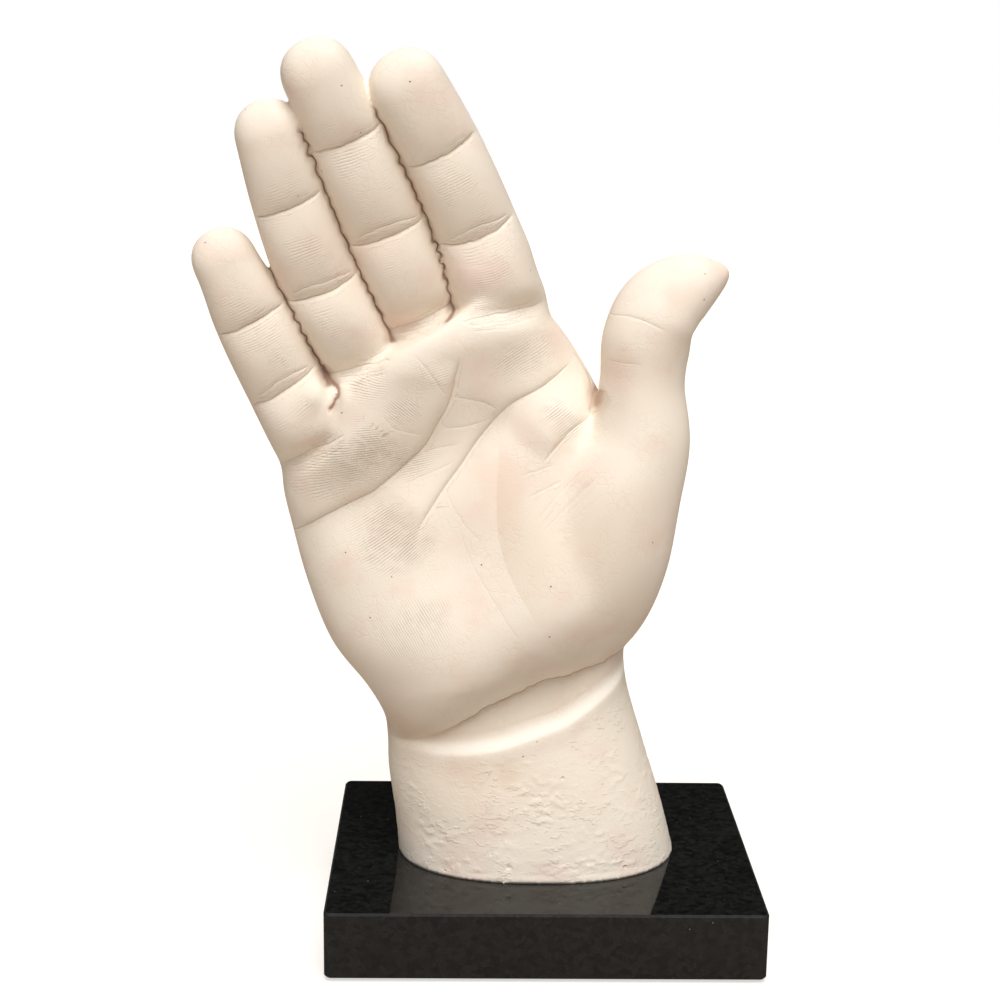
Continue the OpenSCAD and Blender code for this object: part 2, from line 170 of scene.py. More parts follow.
# Points round each loft, its rings or their spacing, the rings of a tip's dome, and how far round it they go
PALM_POINTS, PALM_RINGS, HOLE_RINGS = 300, 330, 60
FINGER_POINTS, FINGER_STEP, FINGER_DOME = 96, 0.5, 36
THUMB_POINTS, THUMB_RINGS, THUMB_DOME = 120, 260, 40
DOME_TURN = 1.54
FOOT_W, FOOT_D = 80, 56
WRIST_W, WRIST_D = 71, 43
PALM_W, PALM_D = 96, 30
HOLE_R, HOLE_UP, ROD_SHIFT = 6.3, 54.5, 5
ROD_PITCH = 1.25
# Corner radius of the felt, and how many points lie round its rim and rings on each of its sides
FELT_R, FELT_ROUND, FELT_RINGS = 4, 400, 30
# Root, lengths, leans to the side, leans to the front and widths of each finger, how far the skin sinks at
# its root, and the tilt and bow of the creases at its three joints
FINGERS = {
    "index": dict(
        root=(-14.5, -1, 158.5), seg=(22, 24, 27.5), lean=(17.5, 24, 29), curl=(11, 14, 14),
        width=(26.5, 23, 21.5, 20.5), dip=2.4, tilt=(-7, 1, 0), bow=(0.3, 1.2, 0.4)),
    "middle": dict(
        root=(-36, -1.5, 155.5), seg=(25.5, 27, 26.5), lean=(20.5, 22, 25), curl=(10, 14, 15),
        width=(22, 23, 21.5, 19.5), dip=1.8, tilt=(8, -1, 0), bow=(0.3, 0.5, 0.5)),
    "ring": dict(
        root=(-51, -1.5, 143.5), seg=(23.5, 24, 27), lean=(28, 20, 14.5), curl=(10, 13, 10),
        width=(22.5, 22.5, 20, 18.5), dip=1.4, tilt=(-5, -3, 5), bow=(0.3, 0.8, 0.5)),
    "little": dict(
        root=(-64.5, -1, 120.5), seg=(19, 20, 25), lean=(25.5, 24, 24.5), curl=(11, 10, 8),
        width=(23.5, 22, 21, 17.5), dip=2, tilt=(14, 8, 2), bow=(0.3, 0.4, 0.3))}
# Length of a finger's root inside the palm, and how much straighter it lies there, in degrees
INSIDE, ROOT_TURN = 26, 8
# Shares of a finger's half width to its front and back, inside the palm, at its root, joints and tip, and the
# rise of its joints on the back
FINGER_FRONT = (0.6, 0.98, 0.9, 0.8, 0.74)
FINGER_BACK = (0.9, 0.9, 0.84, 0.74, 0.5)
JOINT_RISE = 0.8
# Powers of the curve that closes a tip
DOME_IN, DOME_OUT = 2.4, 2.2
# Rise of a finger's three pads, how far up each pad its highest place is, and how flat the pads are
PAD = (2.8, 2.2, 2.3)
PAD_PEAK = (0.58, 0.5, 0.42)
PAD_FLAT = 0.7
FINGER_ROUND = 0.84
PALM_ROUND = 0.86
THUMB_ROUND = 0.92
# Sections of the forearm and palm: place across, height, tilt, half width, place to the back, front and back
PALM_ROWS = np.array([
    (-1.5, 0, 0, FOOT_W / 2, 0.5, FOOT_D / 2 + 0.5, FOOT_D / 2 - 0.5),
    (-4, 13, 3.5, FOOT_W / 2 - 1.5, 0.5, FOOT_D / 2 - 1.5, FOOT_D / 2 - 2),
    (-7, 24.5, 10, WRIST_W / 2 + 1.5, 0.5, FOOT_D / 2 - 3, FOOT_D / 2 - 4),
    (-10, 36.5, 17, WRIST_W / 2 + 0.5, 0.5, WRIST_D / 2 + 1.5, WRIST_D / 2 + 0.5),
    (-11, 46, 18.5, WRIST_W / 2, 0, WRIST_D / 2 - 0.5, WRIST_D / 2 - 1),
    (-11.5, 53, 17.5, WRIST_W / 2 + 0.5, 0, WRIST_D / 2 - 1, WRIST_D / 2 - 2),
    (-13, 61, 14.5, WRIST_W / 2 + 3.5, -0.5, WRIST_D / 2, WRIST_D / 2 - 3),
    (-17, 73.5, 12.5, PALM_W / 2 - 3.5, -1, WRIST_D / 2 + 0.5, PALM_D / 2 + 2),
    (-20.5, 89.5, 10.5, PALM_W / 2 - 0.5, -1, PALM_D / 2 + 4.5, PALM_D / 2 + 1),
    (-24.5, 107, 11.5, PALM_W / 2, -1, PALM_D / 2 + 3, PALM_D / 2),
    (-30, 122, 15, PALM_W / 2 - 2.5, -0.5, PALM_D / 2 + 3, PALM_D / 2 - 1.5),
    (-34, 134.5, 22, PALM_W / 2 - 7, 0, PALM_D / 2 + 3.5, PALM_D / 2 - 3),
    (-35.5, 144, 28, PALM_W / 2 - 13.5, 0, PALM_D / 2 + 3.5, PALM_D / 2 - 5.5),
    (-35.5, 151, 31, PALM_W / 2 - 21, 0, 16.5, 7)])
# Place across, height, reach across, reach up, turn and rise of each swelling of the palm
MOUNDS = (
    (-40, 76, 18, 20, 14, 3),
    (7, 92, 20, 24, -12, 9),
    (1, 130, 11, 9, -30, 4),
    (-62, 95, 9, 10, 0, 1.5),
    (-55, 121, 13, 9, 35, 2),
    (-36, 150, 12, 9, 25, 3),
    (-11, 157, 15, 9, 20, 4.5))
# Heights across the hand of the hollow's floor, the edge under the heel and the top edge of the forearm
ACROSS = (-75, -57, -40, -28, -15, -2.5, 8, 30)
HOLLOW_AT = (90, 103, 115, 121, 128, 137, 144, 156)
HEEL_AT = (33, 34, 36.5, 40.5, 48, 54.5, 57, 63)
ARM_AT = (32, 33, 35.5, 36.5, 38.5, 42.5, 47, 61)
HOLLOW, HOLLOW_REACH = 4.5, 13
# Rise of the heel across the hand, the height over which it comes out, and its reach upwards
HEEL = (9, 9, 9.5, 10, 10.5, 10, 9, 8)
HEEL_TURN = (6, 6, 7, 8, 10, 12, 14, 14)
HEEL_REACH = 30
# Depth of the fold across the wrist, its middle and reach across, its reach up under the heel, what it loses
# going down, and half the height of the step at the top edge of the forearm
FOLD, FOLD_X, FOLD_REACH, FOLD_UP, FOLD_LOSS, FOLD_LIP = 5, -3, 32, 7, 0.3, 2
# Place across, to the back, height, half width, depth to the pad and to the nail of the thumb's sections
THENAR_W, THUMB_W, THUMB_TURN = 40, 23, 40
THUMB_ROWS = np.array([
    (-2, 3, 48, THENAR_W / 2 - 9, 11, 11),
    (3.5, 0, 62, THENAR_W / 2 - 4.5, 13.5, 14.5),
    (10, -5.5, 78, THENAR_W / 2 - 0.5, 20.5, 17.5),
    (15, -8, 94, THENAR_W / 2, 21, 17.5),
    (20, -9.5, 109, THENAR_W / 2 - 3, 19, 15),
    (24, -10, 123, THENAR_W / 2 - 6, 14, 13.5),
    (24.5, -10, 138, THUMB_W / 2 - 0.5, 11.5, 11.5),
    (25.5, -9.5, 149.5, THUMB_W / 2, 12, 11.5),
    (29, -9, 158, THUMB_W / 2 + 0.5, 10.5, 7),
    (36, -8.5, 164, THUMB_W / 2 - 2, 8.5, 4),
    (47, -7.5, 168.5, THUMB_W / 2 - 7, 5, 4)])


def curve(places, values, s):
    """A smooth curve through values set at places, read at s: a cubic on each stretch, whose slope at a place
    is that of the chord between its neighbours."""
    x = np.asarray(places, float)
    v = np.asarray(values, float)
    flat = v.reshape(len(x), -1)
    s = np.asarray(s, float)
    at = s.ravel()
    low = np.maximum(np.arange(len(x)) - 1, 0)
    high = np.minimum(np.arange(len(x)) + 1, len(x) - 1)
    slope = (flat[high] - flat[low]) / (x[high] - x[low])[:, None]
    k = np.clip(np.searchsorted(x, at, side="right") - 1, 0, len(x) - 2)
    h = (x[k + 1] - x[k])[:, None]
    t = (at - x[k])[:, None] / h
    got = flat[k] * (2 * t ** 3 - 3 * t ** 2 + 1) + slope[k] * h * (t ** 3 - 2 * t ** 2 + t)
    got = got + flat[k + 1] * (3 * t ** 2 - 2 * t ** 3) + slope[k + 1] * h * (t ** 3 - t ** 2)
    return got.reshape(s.shape + v.shape[1:])


def power(x, e):
    """A power of the size of x that keeps its sign."""
    return np.sign(x) * np.abs(x) ** e


def bell(x):
    """1 at 0, falling away to nothing on both sides."""
    return np.exp(-x * x)


def step(x, low, high):
    """0 below low, 1 above high, and a smooth rise between."""
    t = np.clip((x - low) / (high - low), 0, 1)
    return t * t * (3 - 2 * t)


def unit(v):
    """Vectors brought to the length of 1."""
    return v / np.linalg.norm(v, axis=-1, keepdims=True)


def turns(count):
    """Angles round a section, from the thumb's side by way of the front."""
    return np.arange(count) * 2 * math.pi / count


def finger_axis(f):
    """The finger's joints and their places along it: each segment leans to the little finger's side and
    curls to the front."""
    lean = np.radians(f["lean"])
    bend = np.radians(f["curl"])

    def aim(a, b):
        """The way a segment points, from its two angles."""
        return np.array([-math.sin(a) * math.cos(b), -math.sin(b), math.cos(a) * math.cos(b)])

    joints = [np.array(f["root"], float)]
    for length, a, b in zip(f["seg"], lean, bend):
        joints.append(joints[-1] + length * aim(a, b))
    joints.insert(0, joints[0] - INSIDE * aim(lean[0] - math.radians(ROOT_TURN), 0))
    return np.array(joints), np.concatenate([[-INSIDE, 0], np.cumsum(f["seg"])])


def finger_frame(f, s):
    """Middle of the finger at s, and the ways to its thumb's side and its front there."""
    joints, places = finger_axis(f)
    along = unit(curve(places, joints, s + 0.5) - curve(places, joints, s - 0.5))
    side = unit(np.cross(along, (0, -1, 0)))
    return curve(places, joints, s), side, np.cross(side, along)


def finger_size(f, s):
    """Half width, front and back of the finger at s, without its pads and its rounded end."""
    w = np.array(f["width"]) / 2
    s1, s2, end = np.cumsum(f["seg"])
    half = curve((-INSIDE, 0, s1, s2, s2 + 0.55 * (end - s2), end), (0.85 * w[0], *w, 0.96 * w[3]), s)
    front = half * curve((-INSIDE, 0, s1, s2, end), FINGER_FRONT, s)
    knuckles = bell((s - s1 + 1) / 5) + 0.5 * bell((s - s2) / 4)
    back = half * curve((-INSIDE, 0, s1, s2, end), FINGER_BACK, s) + JOINT_RISE * knuckles
    return half, front, back


def dome(x):
    """Share of the full size left at x, from 1 where a rounded end begins at 0 to nothing at 1."""
    return np.maximum(0, 1 - np.maximum(0, x) ** DOME_IN) ** (1 / DOME_OUT)


def finger_rings(f):
    """Sections along a finger: each is an ellipse squared off a little, with its own front and back, and the
    end closes as a dome."""
    end = sum(f["seg"])
    r = 1.05 * f["width"][3] / 2
    tip = end - r + r * np.sin(np.linspace(0, DOME_TURN, FINGER_DOME))
    s = np.concatenate([np.arange(-INSIDE, end - r, FINGER_STEP), tip])
    centre, side, front = finger_frame(f, s)
    half, fore, aft = np.array(finger_size(f, s)) * dome((s - end + r) / r)
    a = turns(FINGER_POINTS)
    u = power(np.cos(a), FINGER_ROUND)
    v = power(np.sin(a), FINGER_ROUND)
    reach = np.where(v > 0, fore[:, None] * v, aft[:, None] * v)
    out = side[:, None] * (half[:, None] * u)[..., None] + front[:, None] * reach[..., None]
    return centre[:, None] + out


def finger_places(f, points):
    """Places of points on a finger: along it, with the tilt and bow of its creases taken out, across and to
    the front as shares of its size, how far out from its axis as a share of its size, and its half width."""
    s1, s2, end = np.cumsum(f["seg"])
    s = np.arange(-INSIDE, end, FINGER_STEP)
    centre, side, front = finger_frame(f, s)
    along = np.cross(front, side)
    k = ((centre ** 2).sum(1) - 2 * points @ centre.T).argmin(1)
    off = points - centre[k]
    place = s[k] + (off * along[k]).sum(1)
    half, fore, aft = finger_size(f, np.clip(place, -INSIDE, end))
    across = (off * side[k]).sum(1) / half
    ahead = (off * front[k]).sum(1)
    ahead = ahead / np.where(ahead > 0, fore, aft)
    tilt = np.interp(place, (0, s1, s2), np.tan(np.radians(f["tilt"])))
    bow = np.interp(place, (0, s1, s2), f["bow"])
    level = place - tilt * across * half - bow * across ** 2
    return level, across, ahead, np.hypot(across, ahead), half


def mounds(x, z):
    """Rise of the palm at a place: a sum of bells, each with its own reach and turn, the heel, which stands
    out at once above its edge and fades upwards, and the hollow, a valley that runs across."""
    rise = np.zeros(np.shape(x))
    for cx, cz, rx, rz, turn, height in MOUNDS:
        c, s = math.cos(math.radians(turn)), math.sin(math.radians(turn))
        u = ((x - cx) * c + (z - cz) * s) / rx
        v = ((z - cz) * c - (x - cx) * s) / rz
        rise = rise + height * np.exp(-u * u - v * v)
    edge = np.clip(x, ACROSS[0], ACROSS[-1])
    heel = curve(ACROSS, HEEL_AT, edge)
    above = np.maximum(0, z - heel)
    turned = 1 - np.exp(-above / curve(ACROSS, HEEL_TURN, edge))
    rise = rise + curve(ACROSS, HEEL, edge) * turned * bell(above / HEEL_REACH)
    floor = curve(ACROSS, HOLLOW_AT, edge)
    return rise - HOLLOW * bell((z - floor) / HOLLOW_REACH)


def palm_rings():
    """Sections of forearm and palm: each is an ellipse squared off a little and tilted, with the pads raised
    on its front. The first rings line the hole that is drilled from below."""
    k = np.linspace(0, len(PALM_ROWS) - 1, PALM_RINGS)
    p = curve(np.arange(len(PALM_ROWS)), PALM_ROWS, k)[:, None, :]
    a = turns(PALM_POINTS)
    u = power(np.cos(a), PALM_ROUND)
    v = np.abs(np.sin(a)) ** PALM_ROUND
    tilt = np.radians(p[..., 2])
    x = p[..., 0] + np.cos(tilt) * u * p[..., 3]
    z = p[..., 1] + np.sin(tilt) * u * p[..., 3]
    fore = v * p[..., 5] + v ** 0.7 * mounds(x, z)
    y = p[..., 4] - np.where(np.sin(a) > 0, fore, -v * p[..., 6])
    rings = np.stack([x, y, z], -1)
    hole = np.stack([HOLE_R * np.cos(a) - ROD_SHIFT, -HOLE_R * np.sin(a), 0 * a], -1)
    lining = hole + np.array([0, 0, 1.0]) * np.linspace(HOLE_UP, 0, HOLE_RINGS)[:, None, None]
    return np.concatenate([lining, rings])


def thumb_frame(k):
    """Middle of the thumb at row k, the ways to its side and its pad, and its sizes there."""
    p = curve(np.arange(len(THUMB_ROWS)), THUMB_ROWS, k)
    ahead = curve(np.arange(len(THUMB_ROWS)), THUMB_ROWS, k + 0.05)
    behind = curve(np.arange(len(THUMB_ROWS)), THUMB_ROWS, k - 0.05)
    along = unit(ahead[..., :3] - behind[..., :3])
    turn = math.radians(THUMB_TURN)
    side = unit(np.cross(along, (-math.cos(turn), -math.sin(turn), 0)))
    return p[..., :3], side, np.cross(side, along), p[..., 3:]


def thumb_rings():
    """Sections of the thumb and its root pad, closed at the tip as a dome."""
    last = len(THUMB_ROWS) - 1
    tip = last - 1 + np.sin(np.linspace(0.02, DOME_TURN, THUMB_DOME))
    k = np.concatenate([np.linspace(0, last - 1, THUMB_RINGS), tip])
    centre, side, front, size = thumb_frame(k)
    size = size * dome(k - last + 1)[:, None]
    a = turns(THUMB_POINTS)
    u = power(np.cos(a), THUMB_ROUND)
    v = power(np.sin(a), THUMB_ROUND)
    half = size[:, :1] * u
    reach = np.where(v > 0, size[:, 1:2] * v, size[:, 2:] * v)
    return centre[:, None] + side[:, None] * half[..., None] + front[:, None] * reach[..., None]


def closed(rings, start):
    """Points and faces of a skin over rings, with a point that closes each end. Numbers begin at start."""
    m, n = rings.shape[:2]
    i, j = np.meshgrid(np.arange(m - 1), np.arange(n), indexing="ij")
    a = (start + i * n + j).ravel()
    b = (start + i * n + (j + 1) % n).ravel()
    quads = np.stack([a, b, b + n, a + n], 1).tolist()
    j = np.arange(n)
    first, last = start + m * n, start + m * n + 1
    cap_a = np.stack([np.full(n, first), start + (j + 1) % n, start + j], 1).tolist()
    rim = start + (m - 1) * n
    cap_b = np.stack([np.full(n, last), rim + j, rim + (j + 1) % n], 1).tolist()
    points = np.concatenate([rings.reshape(-1, 3), rings[0].mean(0)[None], rings[-1].mean(0)[None]])
    return points, quads + cap_a + cap_b


def evaluated(mesh, modifier_kind, settings):
    """The mesh that one modifier makes of a mesh: points, and the corners of its faces."""
    holder = bpy.data.objects.new("work", mesh)
    bpy.context.scene.collection.objects.link(holder)
    modifier = holder.modifiers.new("work", modifier_kind)
    for key, value in settings.items():
        setattr(modifier, key, value)
    made = bpy.data.meshes.new_from_object(holder.evaluated_get(bpy.context.evaluated_depsgraph_get()))
    points = np.empty(len(made.vertices) * 3)
    made.vertices.foreach_get("co", points)
    corners = np.empty(len(made.loops), np.int64)
    made.loops.foreach_get("vertex_index", corners)
    sides = len(made.loops) // len(made.polygons)
    bpy.data.objects.remove(holder)
    bpy.data.meshes.remove(mesh)
    bpy.data.meshes.remove(made)
    return points.reshape(-1, 3), corners.reshape(-1, sides)


def fused(shells):
    """Closed skins that run into each other, joined and rebuilt as one even skin of small quads."""
    points, faces = [], []
    for rings in shells:
        p, f = closed(rings, sum(len(q) for q in points))
        points.append(p)
        faces += f
    mesh = bpy.data.meshes.new("work")
    mesh.from_pydata(np.concatenate(points), [], faces)
    return evaluated(mesh, "REMESH", dict(mode="VOXEL", voxel_size=SKIN_STEP))


def edges_of(faces):
    """Each edge of the faces once, as pairs of point numbers."""
    n = faces.shape[1]
    pairs = np.sort(np.concatenate([faces[:, [i, (i + 1) % n]] for i in range(n)]), 1)
    count = faces.max() + 1
    return np.stack(np.divmod(np.unique(pairs[:, 0] * count + pairs[:, 1]), count), 1)


def relax(points, edges, rounds, share, out=0.5, back=-0.5):
    """Smooths where there is a share: each point goes part of the way to its neighbours' mean, then back, or
    further on where back is over 0."""
    chosen = share > 0.01
    keep = np.flatnonzero(chosen)
    near = edges[chosen[edges[:, 0]] | chosen[edges[:, 1]]]
    n = len(points)
    count = np.maximum(np.bincount(near.ravel(), minlength=n), 1)[keep, None]
    weight = share[keep, None]
    p = points.copy()
    for move in [out, back] * rounds:
        mean = np.stack([
            np.bincount(near[:, 0], p[near[:, 1], k], n) + np.bincount(near[:, 1], p[near[:, 0], k], n)
            for k in range(3)], 1)[keep] / count
        p[keep] += move * weight * (mean - p[keep])
    return p


def normals(points, faces):
    """Each point's normal: the sum of its faces' normals, weighted by area."""
    a, b, c = points[faces[:, 0]], points[faces[:, 1]], points[faces[:, 2]]
    face = np.cross(b - a, c - a)
    if faces.shape[1] == 4:
        d = points[faces[:, 3]]
        face = np.cross(c - a, d - b)
    total = np.zeros_like(points)
    for corner in faces.T:
        for k in range(3):
            total[:, k] += np.bincount(corner, face[:, k], len(points))
    return unit(total + 1e-12)


def beside(points, path, pitch=0.5):
    """Distance of points from a smooth path in the palm's plane, the side of it that they are on, their place
    along it and its length."""
    knots = np.array(path, float)
    chord = np.concatenate([[0], np.cumsum(np.linalg.norm(np.diff(knots, axis=0), axis=1))])
    dense = curve(chord, knots, np.linspace(0, chord[-1], max(4, int(chord[-1] / pitch))))
    a, d = dense[:-1], np.diff(dense, axis=0)
    length = np.linalg.norm(d, axis=1)
    off = points[:, None] - a
    t = np.clip((off * d).sum(-1) / (length ** 2), 0, 1)
    gap = off - t[..., None] * d
    far = np.linalg.norm(gap, axis=-1)
    k = far.argmin(1)
    row = np.arange(len(points))
    side = np.sign(d[k, 0] * off[row, k, 1] - d[k, 1] * off[row, k, 0])
    place = np.concatenate([[0], np.cumsum(length)])[k] + t[row, k] * length[k]
    return far[row, k], side, place, length.sum()


def near(points, path, reach):
    """Numbers of the points whose place in the palm's plane is within reach of the path's box."""
    knots = np.array(path, float)
    low, high = knots.min(0) - reach, knots.max(0) + reach
    flat = points[:, [0, 2]]
    return np.flatnonzero(((flat > low) & (flat < high)).all(1))


# Factors that scramble the lattice places of the noise, and the mask that keeps 32 bits
HASH_X, HASH_Y, HASH_Z, HASH_SEED = 374761393, 668265263, 2147483647, 1274126177
HASH_MASK = 0xFFFFFFFF


def noise(points, size, seed):
    """Smooth noise from -1 to 1 in cells of a size: a random value at each corner of a lattice, blended."""
    q = points / size
    base = np.floor(q).astype(np.int64)
    f = q - base
    f = f * f * (3 - 2 * f)
    total = np.zeros(len(points))
    for corner in range(8):
        shift = np.array([corner & 1, corner >> 1 & 1, corner >> 2 & 1])
        c = base + shift
        h = c[:, 0] * HASH_X + c[:, 1] * HASH_Y + c[:, 2] * HASH_Z + seed * HASH_SEED
        h = h & HASH_MASK
        h = ((h ^ (h >> 13)) * HASH_SEED) & HASH_MASK
        h = h ^ (h >> 16)
        share = np.prod(np.where(shift, f, 1 - f), axis=1)
        total += share * (h / HASH_MASK * 2 - 1)
    return total


# Lines across each finger: joint, place over it in the middle and at the sides, from and to across, depth
FINGER_LINES = (
    (0, 0, 0, -0.9, 0.9, 0.7),
    (0, -2.3, -1.2, -0.75, 0.6, 0.55),
    (0, 1.5, 1.9, -0.2, 0.75, 0.4),
    (0, -1.1, 0.2, -0.9, 0.1, 0.45),
    (0, 0.9, 0.4, -0.8, 0.3, 0.35),
    (0, -3.4, -2.9, -0.3, 0.8, 0.45),
    (0, -4.4, -3.2, -0.7, 0.2, 0.35),
    (1, 0, 0, -0.95, 0.95, 1.0),
    (1, 3.3, 0.6, -0.75, 0.9, 0.7),
    (2, 0, 0, -0.95, 0.95, 1.0),
    (2, 1.5, 1.0, 0.0, 0.85, 0.4))
# Lines of the palm: rise of the skin on the upper side, depth, path of places across and up
PALM_LINES = (
    (2.6, 0.75, ((-72, 94), (-57, 103.5), (-48, 108.5), (-40, 115.5), (-34, 121.5), (-31, 127), (-27.5, 134),
                 (-25, 146))),
    (2.3, 0.55, ((-37, 97), (-34, 102), (-28.5, 110.5), (-24.5, 116), (-19, 124), (-11.5, 132.5),
                 (-2.5, 137.5), (6, 143.5))),
    (0.0, 0.12, ((-11, 132.5), (-13.5, 125), (-14, 119), (-14.5, 110), (-14, 98.5), (-11, 88.5), (-5.5, 79.5),
                 (-2, 74))),
    (2.0, 0.5, ((-3, 117), (5, 126), (10, 129), (14, 132))),
    (0.0, 0.8, ((5.5, 146.5), (10, 139.5), (12, 134))),
    (0.0, 0.28, ((-37, 147), (-31.5, 140.5), (-27.5, 134.5))),
    (0.0, 0.25, ((-46, 132.5), (-43, 127.5), (-38.5, 125.5), (-33.5, 124.5))),
    (0.3, 0.35, ((-27.5, 135), (-19.5, 134), (-13, 131))),
    (0.0, 0.3, ((-30, 126.5), (-22.5, 127), (-14.5, 129.5))),
    (0.0, 0.2, ((-24.5, 100), (-20.5, 90), (-16, 83), (-11, 75.5), (-8, 71))),
    (0.0, 0.2, ((-28.5, 110), (-24.5, 102.5), (-18, 96))),
    (0.0, 0.28, ((-37, 118), (-31.5, 120.5), (-24, 122))),
    (0.0, 0.28, ((-40, 110.5), (-34, 113.5), (-25.5, 117.5))),
    (0.0, 0.3, ((-4.5, 102.5), (2, 110), (9, 117))),
    (0.0, 0.3, ((-2.5, 100), (5.5, 108.5), (12, 115.5))),
    (0.0, 0.35, ((-7, 108.5), (-2, 111), (4, 114))),
    (0.0, 0.35, ((-9, 114), (-3.5, 116), (1.5, 117.5))),
    (0.4, 0.4, ((13, 157), (21, 157), (30, 154))),
    (0.2, 0.28, ((13, 145.5), (18, 145), (24, 145))))
THENAR_LINE = 2
# How far from a line the skin over it comes out and sinks back, and how far from its ends it does so in full
STEP_OUT, STEP_BACK, STEP_ENDS = 2.5, 11, 8
# Small places on the skin: place across, height, reach across, reach up, then share or rise. They are crumbs
# of plaster, hollows and fillings, the filled web, a stain on the forearm, painted shade under the heel, and
# a darker patch in the thumb's web
CRUMBS = ((3.5, 99, 3, 3, 0.6), (14, 133, 3.5, 3.5, 0.8))
TOUCHES = (
    (0, 170, 5, 6, -1.1),
    (3, 162, 4, 4, 0.5),
    (-10, 4.5, 0.8, 0.8, -0.5))
WEB_FILL = ((-59, 136, 5, 4.5, 4),)
ARM_STAIN = ((-14, 30, 11, 4.5, 0.5),)
HEEL_SHADE = ((-38, 39, 17, 5, 0.6),)
WEB_PATCH = ((12, 134, 1.8, 3, 0.9),)
THENAR_STAIN = 0.38
# Strength of the painted highlight along the top edge of the forearm, where it faces up
EDGE_HIGHLIGHT = 0.85
# Skin ridges of the palm: place across, height, reach along and over them, angle, spread, share, spacing
RIDGE_STEP = 0.74
RIDGES = (
    (-51, 117, 19, 12, 10, 0.012, 0.8, 0.67),
    (-50, 138, 9, 5, -6, 0, 0.7, 0.68),
    (-40, 130, 7, 7, -38, 0, 0.7, 0.68),
    (-43, 97, 11, 14, 34, 0.008, 0.9, 0.65),
    (-36, 76, 13, 15, -58, 0, 0.5, 0.7),
    (3, 130, 7, 7, 36, 0, 0.7, 0.68),
    (-7, 146, 13, 8, 30, 0, 0.45, 0.68),
    (-33, 142, 9, 7, 20, 0, 0.4, 0.68),
    (6, 109, 11, 8, 44, 0, 0.3, 2.2))
# Ridges of a finger: their strength, and shares of it at places over its root, first joint and end joint
FINGER_RIDGE = 0.32
ROOT_RIDGES = ((0, 0.2), (3, 0.8))
FIRST_RIDGES = ((-3, 0.7), (0, 0.5), (4, 0.9))
END_RIDGES = ((-2, 0.9), (0, 0.4), (1, 1.0), (7, 0.7), (12, 0.12))
# Seams where the finger roots and the root of the thumb run into the palm, with the reach of their blending
SEAMS = (
    (5, ((-80, 108), (-60, 126), (-44, 147), (-26, 154), (4, 160))),
    (9, ((-6, 56), (-4, 70), (0, 90), (6, 110), (10, 124))),
    (9, ((20, 62), (19, 72), (16, 84), (12, 98))))
# Length and swing of the grooves' waves between the fingers, how far out from both axes two fingers still
# touch, as a share of their size, and how far below the upper finger's root each groove begins
GROOVE_WAVE, GROOVE_SWING = 4.4, 0.4
TOUCHING = 1.7
GROOVE_LOW = (-4, -4.5, -4)
# Ends of grooves in the webs: share, how much wider in the middle, path of places across and up
GROOVE_ENDS = (
    (1.0, 1.6, ((-62, 142), (-60.5, 139.5), (-59, 137.5), (-57.5, 136), (-57.5, 134), (-58.5, 132),
                (-60, 130))),
    (0.5, 2.5, ((13, 137), (12.5, 134.5), (11.5, 132), (9.5, 129.5))))
# Depth and half width of the lines of the skin and of the grooves
LINE_CUT, LINE_HALF = 0.3, 0.45
GROOVE_CUT, GROOVE_HALF = 1.1, 0.5
# Height from which points are looked up on the fingers, the places given to points below it, and where over
# its root a finger begins to own them. Row from which points are looked up on the thumb, and the step
FINGERS_FROM, OWN_FROM = 95, -6
NO_FINGER = np.array([[-99.0], [9], [-9], [99], [10]])
THUMB_FROM, THUMB_STEP = 4, 0.04
# Back of the hand: rise and reach of a knuckle and its place along the finger's axis, rise and reach of a
# tendon, depth, half width and spacing of the wrinkles over a joint, how many lie on each side of the first
# and end joints, and where the tendons gather at the wrist
KNUCKLE_RISE, KNUCKLE_REACH, KNUCKLE_BACK = 2.4, 8, -20.0
TENDON_RISE, TENDON_REACH = 1.3, 3.6
WRINKLE_CUT, WRINKLE_HALF, WRINKLE_STEP = 0.35, 0.45, 1.5
WRINKLES = (3, 2)
KNUCKLE_X, WRIST_X, WRIST_UP, WRIST_SPREAD = -34, -13, 62, 0.3
# Nails: rise of the plate, depth of the groove round it, rise of the fold at its root, and half its width as
# a share of the finger's. The thumb's nail lies between two rows of its sections and is lower
NAIL_RISE, NAIL_GROOVE, NAIL_FOLD, NAIL_HALF = 0.35, 0.35, 0.3, 0.7
THUMB_NAIL_ROWS, THUMB_NAIL_SHARE = (8.45, 9.6), 0.7


def all_places(points):
    """Places of all points on each finger, far off for points below the fingers, and the finger of each."""
    high = np.flatnonzero(points[:, 2] > FINGERS_FROM)
    made = []
    for f in FINGERS.values():
        found = np.tile(NO_FINGER, (1, len(points)))
        found[:, high] = finger_places(f, points[high])
        made.append(found)
    reach = np.stack([np.where(p[0] > OWN_FROM, p[3], 99) for p in made])
    owner = np.where(reach.min(0) < TOUCHING, reach.argmin(0), -1)
    return made, owner


def thumb_places(points):
    """Places of points on the thumb: along it in mm, across and to the pad as shares of its size, its half
    width, and where along it its nail begins and ends."""
    k = np.arange(THUMB_FROM, len(THUMB_ROWS) - 1, THUMB_STEP)
    centre, side, front, size = thumb_frame(k)
    long = np.concatenate([[0], np.cumsum(np.linalg.norm(np.diff(centre, axis=0), axis=1))])
    along = np.cross(front, side)
    i = ((centre ** 2).sum(1) - 2 * points @ centre.T).argmin(1)
    off = points - centre[i]
    across = (off * side[i]).sum(1) / size[i, 0]
    ahead = (off * front[i]).sum(1)
    ahead = ahead / np.where(ahead > 0, size[i, 1], size[i, 2])
    return long[i] + (off * along[i]).sum(1), across, ahead, size[i, 0], np.interp(THUMB_NAIL_ROWS, k, long)


